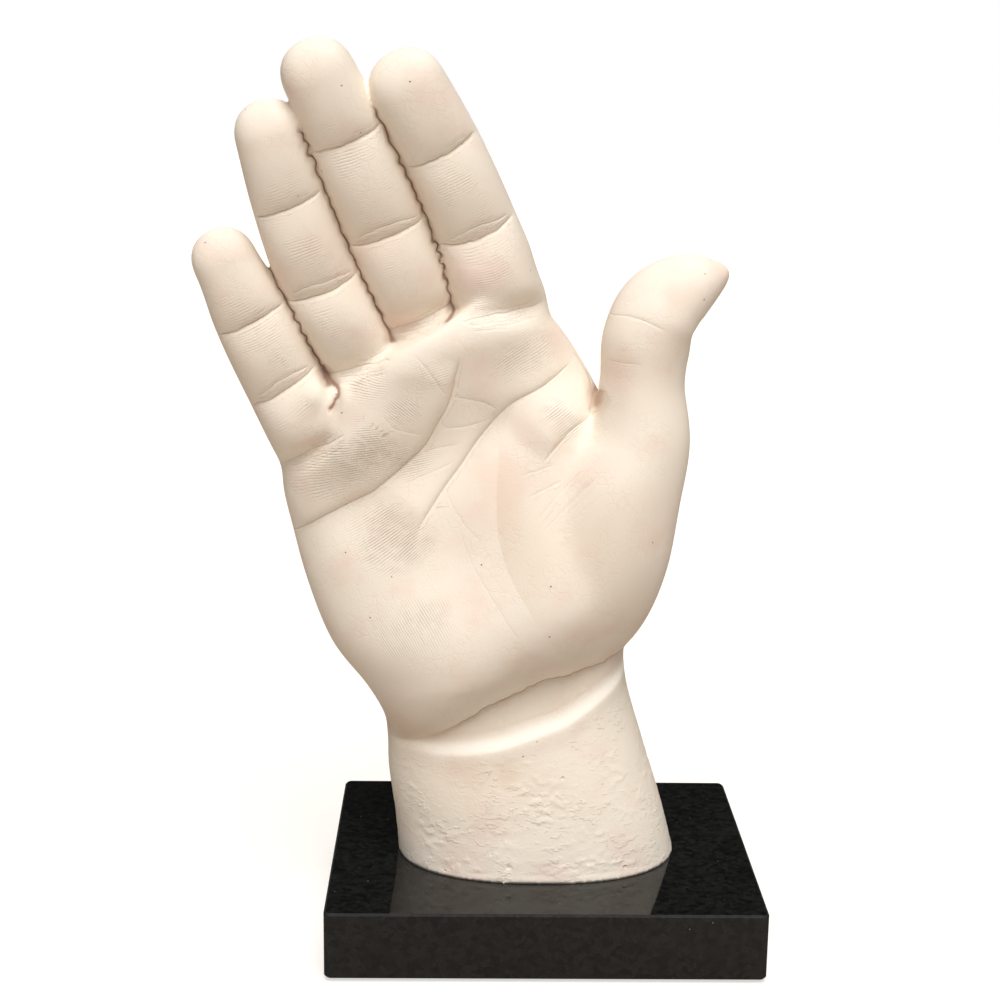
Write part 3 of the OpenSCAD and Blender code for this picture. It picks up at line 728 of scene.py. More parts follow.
def pads(points, places):
    """Rise of the finger pads: between two creases the arch of a half sine to a power, drawn up or down to
    its highest place. The skin sinks a little at the finger's root."""
    rise = np.zeros(len(points))
    for number, f in enumerate(FINGERS.values()):
        level, _, ahead, out, _ = places[number]
        joints = np.concatenate([[0], np.cumsum(f["seg"])])
        swell = -f["dip"] * bell(level / 3.5)
        for low, high, height, peak in zip(joints[:-1], joints[1:], PAD, PAD_PEAK):
            t = np.clip((level - low) / (high - low), 0, 1)
            arch = np.sin(math.pi * t ** (math.log(0.5) / math.log(peak)))
            swell += height * np.maximum(0, arch) ** PAD_FLAT
        rest = np.min([q[3] for k, q in enumerate(places) if k != number], 0)
        share = step(rest - out, -0.3, 0.3) * step(1.6 - out, 0, 0.5) * step(level, -9, -4)
        rise += share * swell * np.clip(ahead, 0, 1)
    return rise


def grooves(points, places):
    """Distance from the nearest wavy groove between two fingers that touch, and how much of a groove is
    there: the groove is where a point is as far out from one finger's axis as from the next one's, and it
    widens to three times at its foot. In two webs it goes on along a path."""
    off = np.full(len(points), 9.0)
    share = np.zeros(len(points))
    tips = [sum(f["seg"]) - 8 for f in FINGERS.values()]

    def keep(i, far, close, allowed=True):
        """Notes a groove for the points that have none nearer."""
        won = (np.abs(far) < np.abs(off[i])) & allowed
        off[i[won]], share[i[won]] = far[won], close[won]

    for a, b, tip_a, tip_b, low in zip(places[:-1], places[1:], tips[:-1], tips[1:], GROOVE_LOW):
        i = np.flatnonzero((np.maximum(a[3], b[3]) < TOUCHING) & (np.minimum(a[0], b[0]) > low - 2))
        wave = GROOVE_SWING * np.sin(2 * math.pi * b[0, i] / GROOVE_WAVE + 4 * noise(points[i], 8, 5))
        wave = wave * (1 + 0.8 * noise(points[i], 9, 9)) + 0.42 * noise(points[i], 1.8, 6)
        above = np.minimum(a[0, i], b[0, i]) - low
        far = ((a[3, i] - b[3, i]) * 0.4 * (a[4, i] + b[4, i]) + wave) / (1 + 2 * step(7 - above, 0, 7))
        close = step(TOUCHING - np.maximum(a[3, i], b[3, i]), 0, 0.2) * step(above, 0, 1)
        close = close * step(np.maximum(a[2, i], b[2, i]), -0.9, -0.3)
        close = close * step(tip_a - a[0, i], 0, 4) * step(tip_b - b[0, i], 0, 4)
        keep(i, far, close)
    for strength, wide, path in GROOVE_ENDS:
        i = near(points, path, 6)
        i = i[points[i, 1] < 6]
        away, side, place, length = beside(points[i][:, [0, 2]], path)
        far = 0.5 * noise(points[i] * (1, 0, 1), 1.8, 6) - away * side
        far = far / (1 + wide * bell((place / length - 0.35) / 0.3))
        close = strength * step(length - place, 0, 2) * step(6 - points[i, 1], 0, 4) * step(4 - away, 0, 2)
        keep(i, far, close, place > 0)
    return off, share


def find_lines(points, places, owner):
    """The nearest line of the skin: the distance from it, over 0 above it, and its depth, which fades towards
    the ends of the line."""
    n = len(points)
    off, depth, best = np.full(n, 9.0), np.zeros(n), np.zeros(n)

    def keep(i, far, strength):
        """Notes a line for the points that have none stronger there."""
        score = strength * bell(far / 1.2)
        won = score > best[i]
        best[i[won]], off[i[won]], depth[i[won]] = score[won], far[won], strength[won]

    waver = 0.4 * noise(points, 4, 7) + 0.22 * noise(points, 1.5, 8)
    for number, f in enumerate(FINGERS.values()):
        level, across, ahead, _, _ = places[number]
        joints = np.concatenate([[0], np.cumsum(f["seg"])])
        for joint, middle, sides, low, high, strength in FINGER_LINES:
            far = level - joints[joint] - middle - (sides - middle) * across ** 2 + waver
            i = np.flatnonzero((owner == number) & (ahead > 0) & (np.abs(far) < 4))
            ends = step(across[i], low, low + 0.2) * step(high - across[i], 0, 0.2)
            keep(i, far[i], strength * ends * step(1.6 - np.abs(far[i]), 0, 0.6))
    for _, strength, path in PALM_LINES:
        i = near(points, path, 4)
        i = i[points[i, 1] < 0]
        far, side, place, length = beside(points[i][:, [0, 2]] + waver[i, None] * 0.6, path)
        ends = step(place, 0, 3) * step(length - place, 0, 3)
        keep(i, far * side, strength * ends * step(1.6 - far, 0, 0.6))
    over, _, _, middle = wrist_edges(points)
    i = np.flatnonzero((np.abs(over) < 4) & (points[:, 1] < 0))
    keep(i, over[i], middle[i] * step(points[i, 0], -34, -20) * step(1.6 - np.abs(over[i]), 0, 0.6))
    return off, depth


def palm_steps(points):
    """Rise of the skin over the palm's main lines: it stands out from the line within about 2 mm on the upper
    side and sinks back over about 11 mm."""
    rise = np.zeros(len(points))
    for height, _, path in PALM_LINES:
        if not height:
            continue
        i = near(points, path, 26)
        i = i[points[i, 1] < 0]
        far, side, place, length = beside(points[i][:, [0, 2]], path, 1.5)
        ends = step(place, 0, STEP_ENDS) * step(length - place, 0, STEP_ENDS)
        swell = (1 - np.exp(-far / STEP_OUT)) * np.exp(-far / STEP_BACK)
        rise[i] += np.where(side > 0, height * swell * ends, 0)
    return rise


def find_ridges(points, places, owner, facing):
    """Place over the skin ridges in mm and their share: on a finger they follow its creases, and on the palm
    each patch has its own angle. Where two patches meet, both fade."""
    n = len(points)
    warp = 0.9 * noise(points, 11, 11) + 0.14 * noise(points, 2.6, 12)
    crumple = 0.5 * noise(points, 8, 14) + 0.2 * noise(points, 2.8, 15)
    patchy = np.clip(0.5 + 1.1 * noise(points, 6, 13), 0, 1)
    place, best, second = np.zeros(n), np.zeros(n), np.zeros(n)
    for x, z, reach_u, reach_v, angle, spread, share, spacing in RIDGES:
        c, s = math.cos(math.radians(angle)), math.sin(math.radians(angle))
        u = (points[:, 0] - x) * c + (points[:, 2] - z) * s
        v = (points[:, 2] - z) * c - (points[:, 0] - x) * s
        weight = share * bell(u / reach_u) * bell(v / reach_v)
        second = np.maximum(second, np.minimum(best, weight))
        place = np.where(weight > best, (v * (1 + spread * u) + warp) * RIDGE_STEP / spacing, place)
        best = np.maximum(best, weight)
    share = np.clip(1.9 * (best - second) - 0.3, 0, 1) * (0.4 + 0.6 * patchy)
    share = share * facing * step(-points[:, 1], 2, 8)
    reach = np.stack([p[3] for p in places])
    for number, f in enumerate(FINGERS.values()):
        level, across, ahead, out, _ = places[number]
        s1, s2, end = np.cumsum(f["seg"])
        marks = ((0, ROOT_RIDGES), (s1, FIRST_RIDGES), (s2, END_RIDGES))
        rows = [(joint + at, size) for joint, ridges in marks for at, size in ridges]
        strength = np.interp(level, *zip(*rows, (end, 0.0)))
        share = share * (1 - step(level, -4, -1.2) * step(2.0 - out, 0, 0.25))
        mine = (owner == number) & (level > -1)
        rest = np.delete(reach, number, 0).min(0)
        clear = step(level, -1, 2) * step(1.6 - out, 0, 0.3) * step(rest - out, 0.05, 0.3)
        place = np.where(mine, level + crumple, place)
        strength = FINGER_RIDGE * strength * (1 - step(np.abs(across), 0.3, 0.9))
        share = np.where(mine, strength * patchy * clear * step(ahead, 0.1, 0.55), share)
    return place, share


def wrist_edges(points):
    """Heights over the ragged edge under the heel and over the top edge of the arm, the height between the
    two, and how much of a fold is there."""
    x = points[:, 0]
    flat = points * (1, 0, 1)
    edge = np.clip(x, ACROSS[0], ACROSS[-1])
    heel = curve(ACROSS, HEEL_AT, edge)
    arm = curve(ACROSS, ARM_AT, edge)
    ragged = 0.6 * noise(flat, 5, 71) + 0.4 * noise(flat, 1.8, 72)
    over = points[:, 2] - heel + ragged * step(x, -34, -20)
    lip = points[:, 2] - arm + 0.3 * noise(flat, 6, 73)
    return over, lip, np.maximum(heel - arm, 2), np.exp(-((x - FOLD_X) / FOLD_REACH) ** 4)


def fold_wrist(points):
    """Rise of the skin at the wrist: it is sunk most along the ragged edge under the heel, comes out above
    it as the heel does, slopes out a little below it, and steps out as a round lip at the arm's top edge."""
    over, lip, tall, middle = wrist_edges(points)
    depth = np.exp(-np.maximum(0, over) / FOLD_UP) * (1 - FOLD_LOSS * np.clip(-over / tall, 0, 1))
    depth = depth * step(lip, -FOLD_LIP, FOLD_LIP - 0.6)
    crease = 0.8 * bell(over / 0.6) * step(points[:, 0], -34, -20)
    swell = 0.25 * bell((lip + 3) / 2.5) - 0.3 * bell((lip - 2.4) / 0.7)
    return (swell - FOLD * depth - crease) * middle


def spots(points, rows):
    """Sum of bells in the palm's plane, each with its own reach across and up."""
    total = np.zeros(len(points))
    for x, z, reach_x, reach_z, size in rows:
        total += size * bell((points[:, 0] - x) / reach_x) * bell((points[:, 2] - z) / reach_z)
    return total


def arm_share(points):
    """1 on the rough forearm, 0 over the wrist's fold, and spots of crumbs on the root of the thumb."""
    edge = curve(ACROSS, ARM_AT, np.clip(points[:, 0], ACROSS[0], ACROSS[-1]))
    edge = np.where(points[:, 1] < 0, edge, 36)
    crumbs = spots(points, CRUMBS) * (points[:, 1] < 0)
    return np.clip(step(edge - points[:, 2], 0.5, 9) + crumbs, 0, 1)


def roughen(points):
    """Rough plaster of the forearm: low plates and chips longer across than up, in patches, that stop short
    of the foot."""
    flat = points * (0.6, 0.6, 1)
    big, mid, fine = noise(flat, 3.2, 21), noise(flat, 1.6, 22), noise(flat, 0.9, 23)
    patch = np.clip(0.5 + 1.1 * noise(points, 11, 24), 0.12, 1)
    chips = 0.07 * step(big + 0.6 * mid, 0.1, 0.5) + 0.1 * step(mid + 0.7 * fine, 0.3, 0.5) + 0.05 * fine
    return arm_share(points) * patch * (chips - 0.22) * step(points[:, 2], 0.5, 2.5)


def back_forms(points, places, owner):
    """Rise of the back: nails with their folds, wrinkles over the joints, knuckles, and tendons that run from
    the knuckles to the middle of the wrist."""
    rise = np.zeros(len(points))
    x, z = points[:, 0], points[:, 2]
    for number, f in enumerate(FINGERS.values()):
        i = np.flatnonzero((owner == number) & (places[number][2] < 0))
        level, across, ahead, _, half = places[number][:, i]
        s1, s2, end = np.cumsum(f["seg"])
        form = nail(level, across, half, s2 + 0.42 * (end - s2), end - 1.2)
        over = step(0.75 - np.abs(across), 0, 0.3)
        waver = 0.3 * noise(points[i], 4, 41)
        for joint, count in zip((s1, s2), WRINKLES):
            for k in range(-count, count + 1):
                line = level - joint - WRINKLE_STEP * k * (1 + 0.25 * across ** 2) + waver * (1 + 0.4 * k)
                form -= WRINKLE_CUT * bell(line / WRINKLE_HALF) * over / (1 + 0.25 * abs(k))
        rise[i] += form * step(-ahead, 0.0, 0.35)
        joints, at = finger_axis(f)
        knuckle = curve(at, joints, np.array(KNUCKLE_BACK))
        near_knuckle = np.hypot(x - knuckle[0], (z - knuckle[2]) / 1.2)
        rise += KNUCKLE_RISE * bell(near_knuckle / KNUCKLE_REACH)
        wrist = ((knuckle[0] - KNUCKLE_X) * WRIST_SPREAD + WRIST_X, WRIST_UP)
        run = np.array(wrist) - knuckle[[0, 2]]
        off = points[:, [0, 2]] - knuckle[[0, 2]]
        t = np.clip(off @ run / (run @ run), 0, 1)
        away = np.linalg.norm(off - t[:, None] * run, axis=1)
        rise += TENDON_RISE * bell(away / TENDON_REACH) * step(1 - t, 0, 0.3)
    return rise


def nail(level, across, half, low, high):
    """Rise of a nail: a plate a little proud of the skin, a groove round it and a fold at its root."""
    inside = np.minimum(level - low - 1.2 * across ** 2, high - level)
    inside = np.minimum(inside, (NAIL_HALF - np.abs(across)) * half)
    plate = NAIL_RISE * step(inside, 0, 0.6) - NAIL_GROOVE * bell((inside + 0.5) / 0.5)
    return plate + NAIL_FOLD * bell((inside + 2) / 1.2)


def carve(points, faces):
    """Moves the fused skin to the hand's finer forms: front forms along -Y, back forms along +Y, and rough
    plaster along the normals."""
    normal = normals(points, faces)
    facing = step(-normal[:, 1], 0.0, 0.35)
    places, owner = all_places(points)
    lift = pads(points, places) + palm_steps(points) + fold_wrist(points)
    off, depth = find_lines(points, places, owner)
    lift -= LINE_CUT * depth * bell(off / LINE_HALF)
    lift = lift * facing
    off, share = grooves(points, places)
    lift -= GROOVE_CUT * share * bell(off / GROOVE_HALF) * step(-normal[:, 1], -0.3, 0.1)
    behind = back_forms(points, places, owner)
    level, across, ahead, half, ends = thumb_places(points)
    thumb = step(points[:, 0], 12, 16) * step(points[:, 2], 140, 146)
    rise = THUMB_NAIL_SHARE * nail(level, across, half, *ends) * step(-ahead, 0.1, 0.5) * thumb
    rise = rise + spots(points, TOUCHES) * step(-points[:, 1], -14, -8)
    moved = points + normal * (roughen(points) + rise)[:, None]
    moved[:, 1] += behind * step(normal[:, 1], 0.0, 0.4) - lift
    return moved


def thinned(points, faces):
    """The skin with fewer triangles, fewest where it is smooth."""
    mesh = bpy.data.meshes.new("work")
    mesh.from_pydata(points, [], faces.tolist())
    ratio = SKIN_TRIANGLES / (2 * len(faces))
    return evaluated(mesh, "DECIMATE", dict(ratio=ratio, use_collapse_triangulate=True))


def give(mesh, **values):
    """Puts a number on each point of a mesh for its material to read."""
    for name, value in values.items():
        spot = mesh.attributes.new(name, "FLOAT", "POINT")
        spot.data.foreach_set("value", value.astype(np.float32))


def plaster_forms(tree, read, spot):
    """Shares of the plaster's fine forms: skin ridges, lines, grooves and the warm painted shade along them,
    air holes, pits and flakes of the forearm, and fine lines and grain of the skin."""
    # Ridges of 0.5 mm in life are drawn about 0.7 mm apart, so that they show
    turn = node(tree, "ShaderNodeMath", MULTIPLY, in0=read["ridge_place"], in1=2 * math.pi / RIDGE_STEP)
    wave = node(tree, "ShaderNodeMath", {"operation": "SINE"}, in0=turn)
    # A thin valley between two flat ridges, broken here and there
    valley = node(tree, "ShaderNodeMapRange", SMOOTH, Value=wave, From_Min=0.0, From_Max=0.9)
    breaks = node(tree, "ShaderNodeTexNoise", Vector=spot, Scale=METRE / 2.4, Detail=2.0)
    kept = node(tree, "ShaderNodeMapRange", SMOOTH, Value=breaks.outputs[0], From_Min=0.34, From_Max=0.54,
                To_Min=0.4)
    valley = node(tree, "ShaderNodeMath", MULTIPLY, in0=valley, in1=kept)
    ridge = node(tree, "ShaderNodeMath", MULTIPLY, in0=valley, in1=read["ridge_share"])
    # Lines 0.5 mm wide and grooves 1 mm wide
    off = node(tree, "ShaderNodeMath", {"operation": "ABSOLUTE"}, in0=read["line_off"])
    cut = node(tree, "ShaderNodeMapRange", SMOOTH, Value=off, From_Min=0.03, From_Max=0.3,
               To_Min=1.0, To_Max=0.0)
    line = node(tree, "ShaderNodeMath", MULTIPLY, in0=cut, in1=read["line_depth"])
    off = node(tree, "ShaderNodeMath", {"operation": "ABSOLUTE"}, in0=read["groove_off"])
    cut = node(tree, "ShaderNodeMapRange", SMOOTH, Value=off, From_Min=0.1, From_Max=0.5,
               To_Min=1.0, To_Max=0.0)
    groove = node(tree, "ShaderNodeMath", MULTIPLY, in0=cut, in1=read["groove_share"])
    # A warm painted shade up to 1.8 mm either side of the grooves
    cut = node(tree, "ShaderNodeMapRange", SMOOTH, Value=off, From_Min=0.3, From_Max=1.8,
               To_Min=0.3, To_Max=0.0)
    warm_shade = node(tree, "ShaderNodeMath", MULTIPLY, in0=cut, in1=read["groove_share"])
    # Air holes about 0.4 mm across, in about half of the 6 mm cells
    holes = node(tree, "ShaderNodeTexVoronoi", Vector=spot, Scale=METRE / 6)
    hole = node(tree, "ShaderNodeMapRange", SMOOTH, Value=holes.outputs["Distance"], From_Min=0.02,
                From_Max=0.045, To_Min=1.0, To_Max=0.0)
    chance = node(tree, "ShaderNodeSeparateColor", Color=holes.outputs["Color"])
    chance = node(tree, "ShaderNodeMapRange", Value=chance.outputs[0], From_Min=0.5, From_Max=0.55)
    hole = node(tree, "ShaderNodeMath", MULTIPLY, in0=hole, in1=chance)
    # Pits up to 1.2 mm across on the forearm, in cells of 8 mm
    pits = node(tree, "ShaderNodeTexVoronoi", Vector=spot, Scale=METRE / 8)
    pit = node(tree, "ShaderNodeMapRange", SMOOTH, Value=pits.outputs["Distance"], From_Min=0.04,
               From_Max=0.08, To_Min=1.0, To_Max=0.0)
    pit = node(tree, "ShaderNodeMath", MULTIPLY, in0=pit, in1=read["arm"])
    # Fine lines of the skin: crooked cells of about 2.5 mm, in patches of 9 mm
    stray = node(tree, "ShaderNodeTexNoise", Vector=spot, Scale=METRE / 3, Detail=2.0)
    bent = node(tree, "ShaderNodeVectorMath", MULTIPLY_ADD, in0=stray.outputs["Color"],
                in1=(2 * MM, 2 * MM, 2 * MM), in2=spot)
    cells = node(tree, "ShaderNodeTexVoronoi", {"feature": "DISTANCE_TO_EDGE"}, Vector=bent,
                 Scale=METRE / 2.5)
    fine = node(tree, "ShaderNodeMapRange", SMOOTH, Value=cells.outputs["Distance"], From_Min=0.01,
                From_Max=0.09, To_Min=1.0, To_Max=0.0)
    areas = node(tree, "ShaderNodeTexNoise", Vector=spot, Scale=METRE / 9, Detail=2.0)
    area = node(tree, "ShaderNodeMapRange", SMOOTH, Value=areas.outputs[0], From_Min=0.42, From_Max=0.64)
    fine = node(tree, "ShaderNodeMath", MULTIPLY, in0=fine, in1=area)
    skin = node(tree, "ShaderNodeMath", {"operation": "SUBTRACT"}, in0=1.0, in1=read["arm"])
    fine = node(tree, "ShaderNodeMath", MULTIPLY, in0=fine, in1=skin)
    # Grain of 0.6 mm on the skin, and on the forearm flakes of 1.4 mm with sharp edges in patches of 10 mm
    grain = node(tree, "ShaderNodeTexNoise", Vector=spot, Scale=METRE / 0.6, Detail=3.0)
    flat = node(tree, "ShaderNodeMapping", Vector=spot, Scale=(0.55, 0.55, 1.0))
    flakes = node(tree, "ShaderNodeTexNoise", Vector=flat, Scale=METRE / 1.4, Detail=4.0, Roughness=0.6)
    flake = node(tree, "ShaderNodeMapRange", SMOOTH, Value=flakes, From_Min=0.53, From_Max=0.6)
    patches = node(tree, "ShaderNodeTexNoise", Vector=spot, Scale=METRE / 10, Detail=2.0)
    patch = node(tree, "ShaderNodeMapRange", SMOOTH, Value=patches, From_Min=0.42, From_Max=0.62,
                 To_Min=0.15)
    rough = node(tree, "ShaderNodeMath", MULTIPLY, in0=flake, in1=patch)
    rough = node(tree, "ShaderNodeMath", MULTIPLY_ADD, in0=flakes, in1=0.5, in2=rough)
    rough = node(tree, "ShaderNodeMath", MULTIPLY, in0=rough, in1=read["arm"])
    return dict(ridge=ridge, line=line, groove=groove, warm_shade=warm_shade, hole=hole, pit=pit, fine=fine, grain=grain,
                rough=rough)


def cast_plaster():
    """Cast gypsum plaster, sealed: warm cream with faint pink clouds, skin ridges from the mould, painted
    shade in the lines, ridges, grooves and tiny air holes and under the heel, a painted highlight along the
    forearm's top edge, and a rough forearm."""
    m, tree, out = material("cast_plaster")
    names = ("ridge_place", "ridge_share", "line_off", "line_depth", "groove_off", "groove_share", "arm",
             "blush", "rubbed")
    read = {k: node(tree, "ShaderNodeAttribute", {"attribute_name": k}).outputs["Fac"] for k in names}
    spot = node(tree, "ShaderNodeTexCoord").outputs["Object"]
    form = plaster_forms(tree, read, spot)
    high = 0.0
    for name, height in FORM_HEIGHTS.items():
        high = node(tree, "ShaderNodeMath", MULTIPLY_ADD, in0=form[name], in1=height, in2=high)
    bump = node(tree, "ShaderNodeBump", Height=high, Distance=MM, Strength=1.0)
    # Painted shade in the ridge valleys, lines and cells, and a warm painted shade along the grooves
    crease_shade = 0.0
    for name, share in FORM_SHADE.items():
        crease_shade = node(tree, "ShaderNodeMath", MULTIPLY_ADD, in0=form[name], in1=share, in2=crease_shade)
    crease_shade = node(tree, "ShaderNodeMath", MAXIMUM, in0=crease_shade, in1=form["warm_shade"])
    # Dark brown painted shade in the grooves between the fingers and in the air holes
    hollow_shade = node(tree, "ShaderNodeMath", MAXIMUM, in0=form["groove"], in1=form["hole"])
    hollow_shade = node(tree, "ShaderNodeMath", MULTIPLY, in0=hollow_shade, in1=0.7)
    # Colour: cream, then pink clouds of about 14 mm, stains and tints with painted shade under the heel, the
    # painted highlight on the forearm's top edge, painted shade in the lines and ridges, and dark brown
    # painted shade in the grooves and air holes
    clouds = node(tree, "ShaderNodeTexNoise", Vector=spot, Scale=METRE / 14, Detail=3.0)
    pink = node(tree, "ShaderNodeMapRange", SMOOTH, Value=clouds.outputs[0], From_Min=0.45, From_Max=0.75)
    tone = linear("#efe3d3")
    for share, colour in ((pink, "#ecd8c8"), (read["blush"], "#d9c1a8"), (read["rubbed"], "#fdf8ee"),
                          (crease_shade, "#ab9076"), (hollow_shade, "#86543c")):
        tone = node(tree, "ShaderNodeMix", COLOURS, in0=share, in6=tone, in7=linear(colour)).outputs[2]
    dull = node(tree, "ShaderNodeMapRange", Value=clouds.outputs[0], From_Min=0.35, From_Max=0.65,
                To_Min=0.68, To_Max=0.78)
    shader = node(tree, "ShaderNodeBsdfPrincipled", Base_Color=tone, Roughness=dull, Normal=bump)
    shader.inputs["Specular IOR Level"].default_value = 0.3
    tree.links.new(shader.outputs[0], out.inputs["Surface"])
    return m


def piece(name, points, faces, finish, stands_for):
    """A smooth piece from points in mm, with its finish, in place of a CAD node."""
    mesh = bpy.data.meshes.new(name)
    mesh.from_pydata(points * MM, [], faces)
    mesh.polygons.foreach_set("use_smooth", np.ones(len(faces), bool))
    mesh.materials.append(finish)
    made = bpy.data.objects.new(name, mesh)
    bpy.context.scene.collection.objects.link(made)
    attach(made, "root")
    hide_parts(stands_for)
    return made


def cast_skin():
    """Points and faces of the cast: lofts fused into one skin, blended at the seams, carved, and thinned
    inside the CAD's box."""
    points, faces = fused([palm_rings(), thumb_rings()] + [finger_rings(f) for f in FINGERS.values()])
    edges = edges_of(faces)
    points = relax(points, edges, SKIN_ROUNDS, np.ones(len(points)))
    points[:, 1] -= spots(points, WEB_FILL) * step(-points[:, 1], -4, 2)
    for reach, path in SEAMS:
        share = np.zeros(len(points))
        i = near(points, path, 2 * reach)
        share[i] = bell(beside(points[i][:, [0, 2]], path, 2)[0] / reach)
        points = relax(points, edges, SEAM_ROUNDS, share, 0.5, 0.5)
    points = carve(points, faces)
    low, high = (np.array(c) / MM - (0, 0, TOP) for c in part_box("hand_cast"))
    points[:, 2] = np.where(points[:, 2] < FOOT_FLAT, 0, points[:, 2])
    points = np.clip(points, low, high)
    points, faces = thinned(points, faces)
    return np.clip(points, low, high), faces


def make_cast():
    """The cast as a piece, marked point by point for its plaster."""
    points, faces = cast_skin()
    facing = step(-normals(points, faces)[:, 1], 0.0, 0.35)
    places, owner = all_places(points)
    ridge_place, ridge_share = find_ridges(points, places, owner, facing)
    line_off, line_depth = find_lines(points, places, owner)
    groove_off, groove_share = grooves(points, places)
    # A stain on the forearm, and painted shade on the front under the heel, where the heel faces down
    stain_and_heel_shade = spots(points, ARM_STAIN) + spots(points, HEEL_SHADE) * facing
    far, side, place, length = beside(points[:, [0, 2]], PALM_LINES[THENAR_LINE][2], 1.5)
    thenar = step(side * far, -0.2, 0.4) * np.exp(-far / 40)
    thenar = thenar * step(place, 6, 20) * (0.3 + 0.7 * step(length - place, 0, 12))
    # Tan colour: stains, painted shade under the heel, tone that differs at random, the thenar's tint and a
    # darker patch in the thumb's web
    blush = stain_and_heel_shade * (0.8 + 0.5 * noise(points, 5, 51)) + 0.2 * noise(points, 20, 52)
    blush = np.clip(blush + THENAR_STAIN * thenar * facing + spots(points, WEB_PATCH), 0, 1)
    _, lip, _, middle = wrist_edges(points)
    # A painted highlight along the forearm's top edge, which faces up to the lamps
    rubbed = EDGE_HIGHLIGHT * bell((lip + 0.3) / 1.5) * middle * facing
    cast = piece("cast_hand", points + (0, 0, TOP), faces.tolist(), cast_plaster(), "hand_cast")
    give(cast.data, ridge_place=ridge_place, ridge_share=ridge_share, line_off=line_off,
         line_depth=line_depth, groove_off=groove_off, groove_share=groove_share, arm=arm_share(points),
         blush=blush, rubbed=rubbed)


def polished_granite():
    """Black granite, sawn and polished: near black crystals of about 1.5 mm, a few pale feldspar specks, and
    a gloss that dulls a little from crystal to crystal."""
    m, tree, out = material("polished_granite")
    spot = node(tree, "ShaderNodeTexCoord").outputs["Object"]
    crystals = node(tree, "ShaderNodeTexVoronoi", Vector=spot, Scale=METRE / 1.5)
    shade = node(tree, "ShaderNodeSeparateColor", Color=crystals.outputs["Color"])
    tone = node(tree, "ShaderNodeMix", COLOURS, in0=shade.outputs[0], in6=linear("#0b0b0b"),
                in7=linear("#1b1b1a"))
    # Specks up to 0.5 mm across, in cells of 5 mm
    specks = node(tree, "ShaderNodeTexVoronoi", Vector=spot, Scale=METRE / 5)
    speck = node(tree, "ShaderNodeMapRange", SMOOTH, Value=specks.outputs["Distance"], From_Min=0.02,
                 From_Max=0.055, To_Min=0.5, To_Max=0.0)
    tone = node(tree, "ShaderNodeMix", COLOURS, in0=speck, in6=tone.outputs[2], in7=linear("#8d8b84"))
    gloss = node(tree, "ShaderNodeMapRange", Value=shade.outputs[1], To_Min=0.05, To_Max=0.07)
    # The eased edges are rubbed down by hand and stay dull: there no part of the normal is near 1
    facing = node(tree, "ShaderNodeVectorMath", {"operation": "ABSOLUTE"},
                  in0=node(tree, "ShaderNodeNewGeometry").outputs["Normal"])
    part = node(tree, "ShaderNodeSeparateXYZ", Vector=facing)
    most = node(tree, "ShaderNodeMath", MAXIMUM, in0=part.outputs[0], in1=part.outputs[1])
    most = node(tree, "ShaderNodeMath", MAXIMUM, in0=most, in1=part.outputs[2])
    eased = node(tree, "ShaderNodeMapRange", Value=most, From_Min=0.97, From_Max=0.9, To_Max=0.65)
    gloss = node(tree, "ShaderNodeMath", {"operation": "ADD"}, in0=gloss, in1=eased)
    # The polish follows the crystals by about a thousandth of a mm
    waver = node(tree, "ShaderNodeTexNoise", Vector=spot, Scale=METRE / 2.5, Detail=2.0)
    bump = node(tree, "ShaderNodeBump", Height=waver, Distance=0.001 * MM, Strength=1.0)
    shader = node(tree, "ShaderNodeBsdfPrincipled", Base_Color=tone.outputs[2], Roughness=gloss, IOR=1.38,
                  Normal=bump)
    tree.links.new(shader.outputs[0], out.inputs["Surface"])
    return m


def zinc_plated(name, pitch):
    """Mild steel with bright zinc plating: a pale bluish grey metal with dull clouds of about 3 mm, and a
    rolled thread where it has a pitch in mm: a sine of the height plus the angle round the rod."""
    m, tree, out = material(name)
    spot = node(tree, "ShaderNodeTexCoord").outputs["Object"]
    clouds = node(tree, "ShaderNodeTexNoise", Vector=spot, Scale=METRE / 3, Detail=4.0)
    tone = node(tree, "ShaderNodeMix", COLOURS, in0=clouds.outputs[0], in6=linear("#d2d5d8"),
                in7=linear("#a4a9ae"))
    dull = node(tree, "ShaderNodeMapRange", Value=clouds.outputs[0], From_Min=0.3, From_Max=0.7, To_Min=0.28,
                To_Max=0.46)
    high = node(tree, "ShaderNodeMath", MULTIPLY, in0=clouds.outputs[0], in1=0.02)
    if pitch:
        axis = node(tree, "ShaderNodeMapping", Vector=spot, Location=(ROD_SHIFT * MM, 0, 0))
        part = node(tree, "ShaderNodeSeparateXYZ", Vector=axis)
        angle = node(tree, "ShaderNodeMath", {"operation": "ARCTAN2"}, in0=part.outputs[1],
                     in1=part.outputs[0])
        climb = node(tree, "ShaderNodeMath", MULTIPLY_ADD, in0=part.outputs[2],
                     in1=2 * math.pi / (pitch * MM), in2=angle)
        thread = node(tree, "ShaderNodeMath", {"operation": "SINE"}, in0=climb)
        high = node(tree, "ShaderNodeMath", MULTIPLY_ADD, in0=thread, in1=0.3, in2=high)
    bump = node(tree, "ShaderNodeBump", Height=high, Distance=MM, Strength=1.0)
    shader = node(tree, "ShaderNodeBsdfPrincipled", Base_Color=tone.outputs[2], Metallic=1.0, Roughness=dull,
                  Normal=bump)
    tree.links.new(shader.outputs[0], out.inputs["Surface"])
    return m


